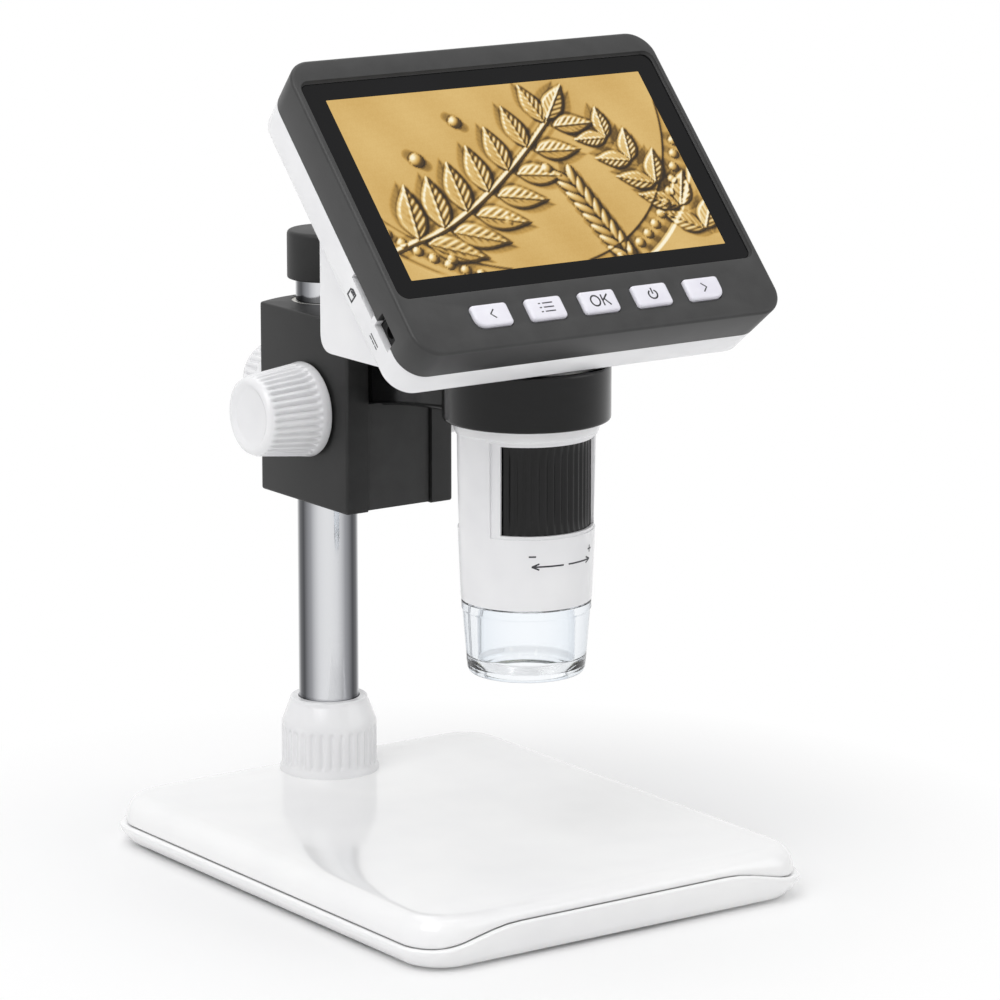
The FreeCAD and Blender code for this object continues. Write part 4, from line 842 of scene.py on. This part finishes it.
addPiece("rearShell", rearShell(), "head", "white", ["rear_shell"], 30)
print("screen housing made")


# the picture: a magnified view of a struck gold token with leaves, berries and a beaded rim

picture = {"wide": 95.04, "long": 53.86, "columns": 330, "rows": 188}


# a pointed leaf with a raised midrib and slanting veins; 0 outside it
def leafHeight(x, y, rootX, rootY, angle, length, width):
    ca, sa = math.cos(angle), math.sin(angle)
    along = ((x - rootX) * ca + (y - rootY) * sa) / length
    across = (-(x - rootX) * sa + (y - rootY) * ca) / width
    if not 0 < along < 1:
        return 0.0
    edge = math.sin(math.pi * along ** 0.75) * 0.5
    if abs(across) > edge:
        return 0.0
    rim = smooth(0, 0.14, edge - abs(across))
    vein = 0.5 + 0.5 * math.cos(2 * math.pi * (along * 7 - abs(across) * 4.2))
    rib = 1 - smooth(0.0, 0.07, abs(across))
    return rim * (0.9 - 0.75 * abs(across) / max(edge, 0.05) * 0.4 + 0.16 * vein + 0.35 * rib)


# two leaves that spread from one spot of a stem
def leafPair(x, y, lean, spread, length, width, shift=0):
    return [(x, y, lean + math.radians(spread), length, width),
            (x + shift, y - shift / 2, lean - math.radians(spread - 2), length, width)]


leaves = []
for t in [k / 6 for k in range(7)]:
    leaves += leafPair(-40 + 52 * t, -16 + 30 * t ** 1.4, math.radians(28 + 22 * t), 52, 17 - 4 * t, 8.5 - 2 * t, 2)
leaves.append((13, 15, math.radians(48), 14, 6.5))
for t in [k / 4 for k in range(5)]:
    leaves += leafPair(44 - 16 * t, -22 + 30 * t, math.radians(100 + 30 * t), 48, 13 - 3 * t, 6.8 - 1.4 * t)
token = {"x": -6.0, "y": 26.0, "rim": 62.0, "beads": 84, "beadCircle": 57.5, "beadSize": 1.35, "step": 54.0}
wheat = [(17 - 0.9 * k, -26 + 3.4 * k) for k in range(8)]


def reliefHeight(x, y):
    radius = math.hypot(x - token["x"], y - token["y"])
    height = 1.5 * smooth(token["rim"] - 1.2, token["rim"] + 0.2, radius)
    height += 0.5 * smooth(token["step"] + 0.5, token["step"], radius) - 0.5
    turnAngle = math.atan2(y - token["y"], x - token["x"])
    share = 2 * math.pi / token["beads"]
    nearest = round(turnAngle / share) * share
    beadX = token["x"] + token["beadCircle"] * math.cos(nearest)
    beadY = token["y"] + token["beadCircle"] * math.sin(nearest)
    bead = 1 - ((x - beadX) ** 2 + (y - beadY) ** 2) / token["beadSize"] ** 2
    if bead > 0:
        height += 1.1 * math.sqrt(bead)
    best = max(leafHeight(x, y, *leaf) * 1.5 for leaf in leaves)
    stemLine = -16 + 30 * max(0.0, (x + 40) / 52) ** 1.4 if x > -40 else -16 + (x + 40) * 0.3
    stem = 1 - abs(y - stemLine) / 0.9
    if stem > 0 and x < 13:
        best = max(best, 1.2 * math.sqrt(stem))
    for berryX, berryY, size in ((-30, 7, 2.0), (-12, -13, 2.0), (-14, 17, 1.7), (6, 0.5, 1.7), (-33, -22, 1.8)):
        berry = 1 - ((x - berryX) ** 2 + (y - berryY) ** 2) / size ** 2
        if berry > 0:
            best = max(best, 1.8 * math.sqrt(berry))
    for grainX, grainY in wheat:
        for side in (-1, 1):
            ca, sa = (turnOf(math.radians(112 + side * -28)) for turnOf in (math.cos, math.sin))
            dx, dy = x - grainX - side * 1.7, y - grainY
            grain = 1 - ((dx * ca + dy * sa) / 3.4) ** 2 - ((-dx * sa + dy * ca) / 1.35) ** 2
            if grain > 0:
                best = max(best, 1.7 * math.sqrt(grain))
    return height + best


# light the relief from the upper left and tone it from deep bronze to pale gold
def pictureColours():
    columns, rows, wide, long = (picture[key] for key in ("columns", "rows", "wide", "long"))
    stepX, stepY = wide / columns, long / rows
    field = [[reliefHeight(i * stepX - wide / 2, j * stepY - long / 2) for i in range(columns + 1)]
             for j in range(rows + 1)]
    sun = Vector((-0.55, 0.62, 0.56)).normalized()
    tones = [(0.0, srgb("#2e2110")), (0.3, srgb("#6f5322")), (0.52, srgb("#c79d4f")), (0.72, srgb("#e4c27c")),
             (0.9, srgb("#f6e3b0")), (1.0, srgb("#fff6da"))]
    colours = []
    for j in range(rows + 1):
        for i in range(columns + 1):
            east, west = field[j][min(i + 1, columns)], field[j][max(i - 1, 0)]
            north, south = field[min(j + 1, rows)][i], field[max(j - 1, 0)][i]
            normal = Vector((-(east - west) / (2 * stepX), -(north - south) / (2 * stepY), 1.15)).normalized()
            x, y = i * stepX - wide / 2, j * stepY - long / 2
            brush = 0.02 * math.sin(37.0 * x + 11.0 * math.sin(1.7 * y)) * math.sin(29.0 * y + 7.0 * math.sin(1.3 * x))
            cloud = 0.035 * math.sin(0.21 * x + 0.6) * math.cos(0.17 * y + 0.13 * x)
            mirror = max(0.0, 2 * normal.z * normal.dot(sun) - sun.z)
            here = field[j][i]
            around = [field[max(0, min(rows, j + dj))][max(0, min(columns, i + di))]
                      for dj, di in ((-3, 0), (3, 0), (0, -3), (0, 3), (-6, 6), (6, -6))]
            crease = max(0.0, sum(around) / 6 - here)
            light = 0.1 + 0.84 * max(0.0, normal.dot(sun)) + 0.2 * mirror ** 8 + brush + cloud - 0.75 * crease
            light = max(0.0, min(1.0, light * 1.1))
            for (low, first), (high, second) in zip(tones, tones[1:]):
                if light <= high:
                    share = (light - low) / (high - low)
                    colours.append([a + (b - a) * share for a, b in zip(first, second)])
                    break
    return colours


def pictureShape():
    columns, rows = picture["columns"], picture["rows"]
    shape = bmesh.new()
    grid = [[shape.verts.new(Vector((-picture["wide"] / 2 + i * picture["wide"] / columns,
                                     -picture["long"] / 2 + j * picture["long"] / rows, -0.02)) * mm)
             for i in range(columns + 1)] for j in range(rows + 1)]
    for j in range(rows):
        for i in range(columns):
            shape.faces.new((grid[j][i], grid[j][i + 1], grid[j + 1][i + 1], grid[j + 1][i]))
    return turn(shape, slabPlace)


# the clear plate's black printed frame, open where the picture shows
def windowPlate():
    shape = layered([(106.3, 63.9, 2.3, -1.2), (106.3, 63.9, 2.3, -0.12), (106.1, 63.7, 2.2, 0.0)], 8)
    opening = softBlock(picture["wide"] + 0.05, picture["long"] + 0.05, 0.3, -0.06, 2, 3)
    return turn(solidWork(shape, [opening]), slabPlace)


addPiece("screenWindow", windowPlate(), "head", "window", ["screen_window"])
display = addPiece("screenPicture", pictureShape(), "head", "picture")
paint = display.data.color_attributes.new("Picture", "FLOAT_COLOR", "POINT")
paint.data.foreach_set("color", [channel for colour in pictureColours() for channel in colour])
print("screen made")


# buttons with their printed signs

# the corners of a straight stroke, which reaches a little past both ends
def ribbon(first, last, width, past):
    along = (last - first).normalized() * width / 2
    side = Vector((-along.y, along.x))
    return (first - side - along * past, last - side + along * past, last + side + along * past,
            first + side - along * past)


# thin printed strokes: each is a list of points, drawn as a flat ribbon with walls under it
def flatSign(strokes, width, height, place):
    shape = bmesh.new()
    for stroke in strokes:
        for start, end in zip(stroke, stroke[1:]):
            corners = ribbon(Vector(start), Vector(end), width, 0.6)
            top, low = ([shape.verts.new(Vector((c.x, c.y, z)) * mm) for c in corners]
                        for z in (height, height - 0.12))
            shape.faces.new(top)
            for k in range(4):
                shape.faces.new((low[k], low[(k + 1) % 4], top[(k + 1) % 4], top[k]))
    return turn(outward(shape), place)


signs = {
    "back": [[(0.6, 1.2), (-0.6, 0.0), (0.6, -1.2)]],
    "menu": [[(-0.8, y), (2.0, y)] for y in (1.2, 0, -1.2)] + [[(-2.0, y), (-1.6, y)] for y in (1.2, 0, -1.2)],
    "ok": [arcPoints((-1.45, 0), 1.3, 0, 360, 24, 1.15), [(0.7, 1.5), (0.7, -1.5)], [(2.5, 1.5), (0.75, -0.15)],
           [(1.3, 0.35), (2.6, -1.5)]],
    "power": [arcPoints((0, -0.15), 1.25, 125, 415, 22), [(0, 1.6), (0, 0.1)]],
    "next": [[(-0.6, 1.2), (0.6, 0.0), (-0.6, -1.2)]],
}


# a key whose top is slightly crowned and whose edge rolls over
def buttonShape(index):
    rings = [[(p.x, p.y, height) for p in buttonOutline(index, -inset)] for inset, height in (
        (0.0, -2.9), (0.0, 1.25), (0.08, 1.55), (0.28, 1.8), (0.6, 1.93), (1.1, 2.0))]
    return turn(meshFromRings(rings), slabPlace)


for index, name in enumerate(("back", "menu", "ok", "power", "next")):
    addPiece("key." + name, buttonShape(index), "key_" + name, "button", ["button_" + name], 40)
    x = buttonRow["right"] + (index - 2) * buttonRow["pitch"]
    place = slabPlace @ moved(x, -buttonRow["drop"], 0)
    sign = flatSign(signs[name], 0.42 if name in ("ok", "power") else 0.34, 2.02, place)
    addPiece("sign." + name, sign, "key_" + name, "ink")
print("buttons made")


# printed marks on the barrel and the left side

# strokes drawn on the barrel's skin: x runs round it in millimetres and y up
def barrelMark(strokes, width, height, facing):
    shape = bmesh.new()
    for stroke in strokes:
        for start, end in zip(stroke, stroke[1:]):
            pieces = max(1, int(math.dist(start, end) / 1.2))
            spots = [Vector(start).lerp(Vector(end), k / pieces) for k in range(pieces + 1)]
            for first, last in zip(spots, spots[1:]):
                wrapped = []
                for c in ribbon(first, last, width, 0.3):
                    z = height + c.y
                    share = (z - barrel["taperLow"]) / (barrel["taperHigh"] - barrel["taperLow"])
                    radius = taperRadius(max(0.0, min(1.0, share))) + 0.03
                    angle = math.radians(facing) + c.x / radius
                    spot = Vector((radius * math.cos(angle), stand["barrelY"] + radius * math.sin(angle), z))
                    wrapped.append(shape.verts.new(spot * mm))
                shape.faces.new(wrapped)
    return outward(shape)


focusMarks = [[(-10.0, 2.6), (-8.3, 2.6)], [(8.3, 2.6), (10.0, 2.6)], [(9.15, 3.45), (9.15, 1.75)]]
for sx in (-1, 1):
    focusMarks += [[(sx * 0.8, 0), (sx * 9.0, 0)]] + [[(sx * 9.2, 0), (sx * 7.4, sy * 0.75)] for sy in (1, -1)]
addPiece("barrelMarks", barrelMark(focusMarks, 0.42, 90.4, -90), "head", "ink")


# a frame on the slab's left wall, x running down the slab and y out towards the face
def sidePlace(along, depth):
    wide = slabSize(depth)[0]
    lean = math.radians(slab["draft"])
    out, right = Vector((-math.cos(lean), 0, -math.sin(lean))), Vector((0, -1, 0))
    up = right.cross(out) * -1
    matrix = Matrix(((right.x, up.x, out.x, -wide / 2 * mm), (right.y, up.y, out.y, along * mm),
                     (right.z, up.z, out.z, depth * mm), (0, 0, 0, 1)))
    return slabPlace @ matrix


cardSign = [[(-1.2, -1.5), (1.2, -1.5), (1.2, 1.5), (-0.4, 1.5), (-1.2, 0.7), (-1.2, -1.5)],
            [(-0.5, 0.9), (-0.5, 0.3)], [(0.05, 1.1), (0.05, 0.4)], [(0.6, 1.1), (0.6, 0.4)]]
powerSign = [[(-2.0, 0.45), (2.0, 0.45)], [(-2.0, -0.45), (-1.0, -0.45)], [(-0.5, -0.45), (0.5, -0.45)],
             [(1.0, -0.45), (2.0, -0.45)]]
addPiece("sign.card", flatSign(cardSign, 0.5, 0.03, sidePlace(-19.7, -15.0)), "head", "ink")
addPiece("sign.socket", flatSign(powerSign, 0.36, 0.03, sidePlace(-33.5, -15.0)), "head", "ink")
print("marks made")


# the CAD nodes that stay, each with its own finish

kept = {
    "steel": "base_screws ballast_plate bolt_washer pole_bolt pole_insert clamp_screw focus_shaft arm_screws "
             "barrel_screws guide_pins shell_screws lcd_tray card_socket",
    "brass": "clamp_nut focus_pinion focus_rack",
    "nylon": "pole_sleeve slide_gibs shaft_bushes clamp_pad drag_washers ring_liner",
    "innerBlack": "optical_chassis power_jack key_switches lens_carrier",
    "circuit": "sensor_board lamp_board main_board key_board",
    "rubber": "rubber_feet", "foam": "battery_pad", "cell": "battery_cell", "lamp": "lamps",
    "lens": "lens_glasses", "gloss": "image_sensor", "window": "lcd_panel",
}
for look, names in kept.items():
    for name in names.split():
        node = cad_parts[name]
        if not node.material_slots:
            node.data.materials.append(materials[look])
        for slot in node.material_slots:
            slot.material = materials[look]


# floor, light and camera

stage = {"lens": 179.56, "eye": (-0.7110, -1.0318, 0.3713), "target": (0.03498, 0.0226, 0.08845),
         "lampTarget": (0, 0, 0.1), "fade": (0.075, 0.17), "worldLight": 0.5}


# 1 for rays from the camera, in reflections and through glass, 0 for light that falls on the object
def seenRays(owner):
    path = addNode(owner, "ShaderNodeLightPath")
    source, output = path, "Is Camera Ray"
    for kind in ("Is Glossy Ray", "Is Transmission Ray"):
        either = addNode(owner, "ShaderNodeMath", operation="MAXIMUM")
        join(owner, source, output, either, 0)
        join(owner, path, kind, either, 1)
        source, output = either, "Value"
    return source


# a pale floor that keeps the shadow and fades to plain white further out
def stageFloor():
    floor = heldObject(brick((-2500, -2500, -8), (2500, 2500, 0)), "floor")
    made, shader = newMaterial("paleFloor", "#f3f3f4", 0.32)
    vary(made, shader, noiseAt(made, 400, 2), ("#f4f4f5", "#f8f8f8"), (0.5, 0.6))
    place = addNode(made, "ShaderNodeTexCoord")
    away = addNode(made, "ShaderNodeVectorMath", operation="LENGTH")
    join(made, place, "Object", away, 0)
    fade = addNode(made, "ShaderNodeMapRange", **{"From Min": stage["fade"][0], "From Max": stage["fade"][1]})
    join(made, away, "Value", fade, "Value")
    glow = addNode(made, "ShaderNodeEmission", Color=srgb("#ffffff"), Strength=1.0)
    blend = addNode(made, "ShaderNodeMixShader")
    share = addNode(made, "ShaderNodeMath", operation="MULTIPLY")
    join(made, seenRays(made), "Value", share, 0)
    join(made, fade, "Result", share, 1)
    join(made, share, "Value", blend, 0)
    join(made, shader, "BSDF", blend, 1)
    join(made, glow, "Emission", blend, 2)
    join(made, blend, "Shader", made.node_tree.nodes["Material Output"], "Surface")
    floor.data.materials.append(made)


def aim(item, place, target):
    item.location = place
    item.rotation_euler = (Vector(target) - Vector(place)).to_track_quat("-Z", "Y").to_euler()


def softbox(name, place, size, power):
    light = bpy.data.lights.new(name, "AREA")
    light.shape = "RECTANGLE"
    light.size = light.size_y = size
    light.energy = power
    aim(newObject(name, light), place, stage["lampTarget"])


# white to the camera and in reflections, softer as a light
def whiteWorld():
    world = bpy.data.worlds.new("whiteRoom")
    world.use_nodes = True
    world.node_tree.nodes.clear()
    output = addNode(world, "ShaderNodeOutputWorld")
    mix = addNode(world, "ShaderNodeMixShader")
    join(world, seenRays(world), "Value", mix, "Fac")
    for entry, strength in ((1, stage["worldLight"]), (2, 1.0)):
        glow = addNode(world, "ShaderNodeBackground", Color=srgb("#ffffff"), Strength=strength)
        join(world, glow, "Background", mix, entry)
    join(world, mix, "Shader", output, "Surface")
    bpy.context.scene.world = world


def photoCamera():
    data = bpy.data.cameras.new("photoCamera")
    data.lens = stage["lens"]
    data.sensor_width = 36.0
    data.clip_end = 20.0
    bpy.context.scene.camera = newObject("photoCamera", data)
    aim(bpy.context.scene.camera, stage["eye"], stage["target"])


stageFloor()
whiteWorld()
photoCamera()
softbox("keyLight", (-0.75, -0.35, 1.0), 0.8, 6.8)
softbox("fillLight", (0.9, -0.9, 0.6), 0.9, 2.6)
softbox("topLight", (0.1, 0.25, 1.3), 1.2, 4.8)
bpy.context.scene.view_settings.view_transform = "Standard"
print("stage made")
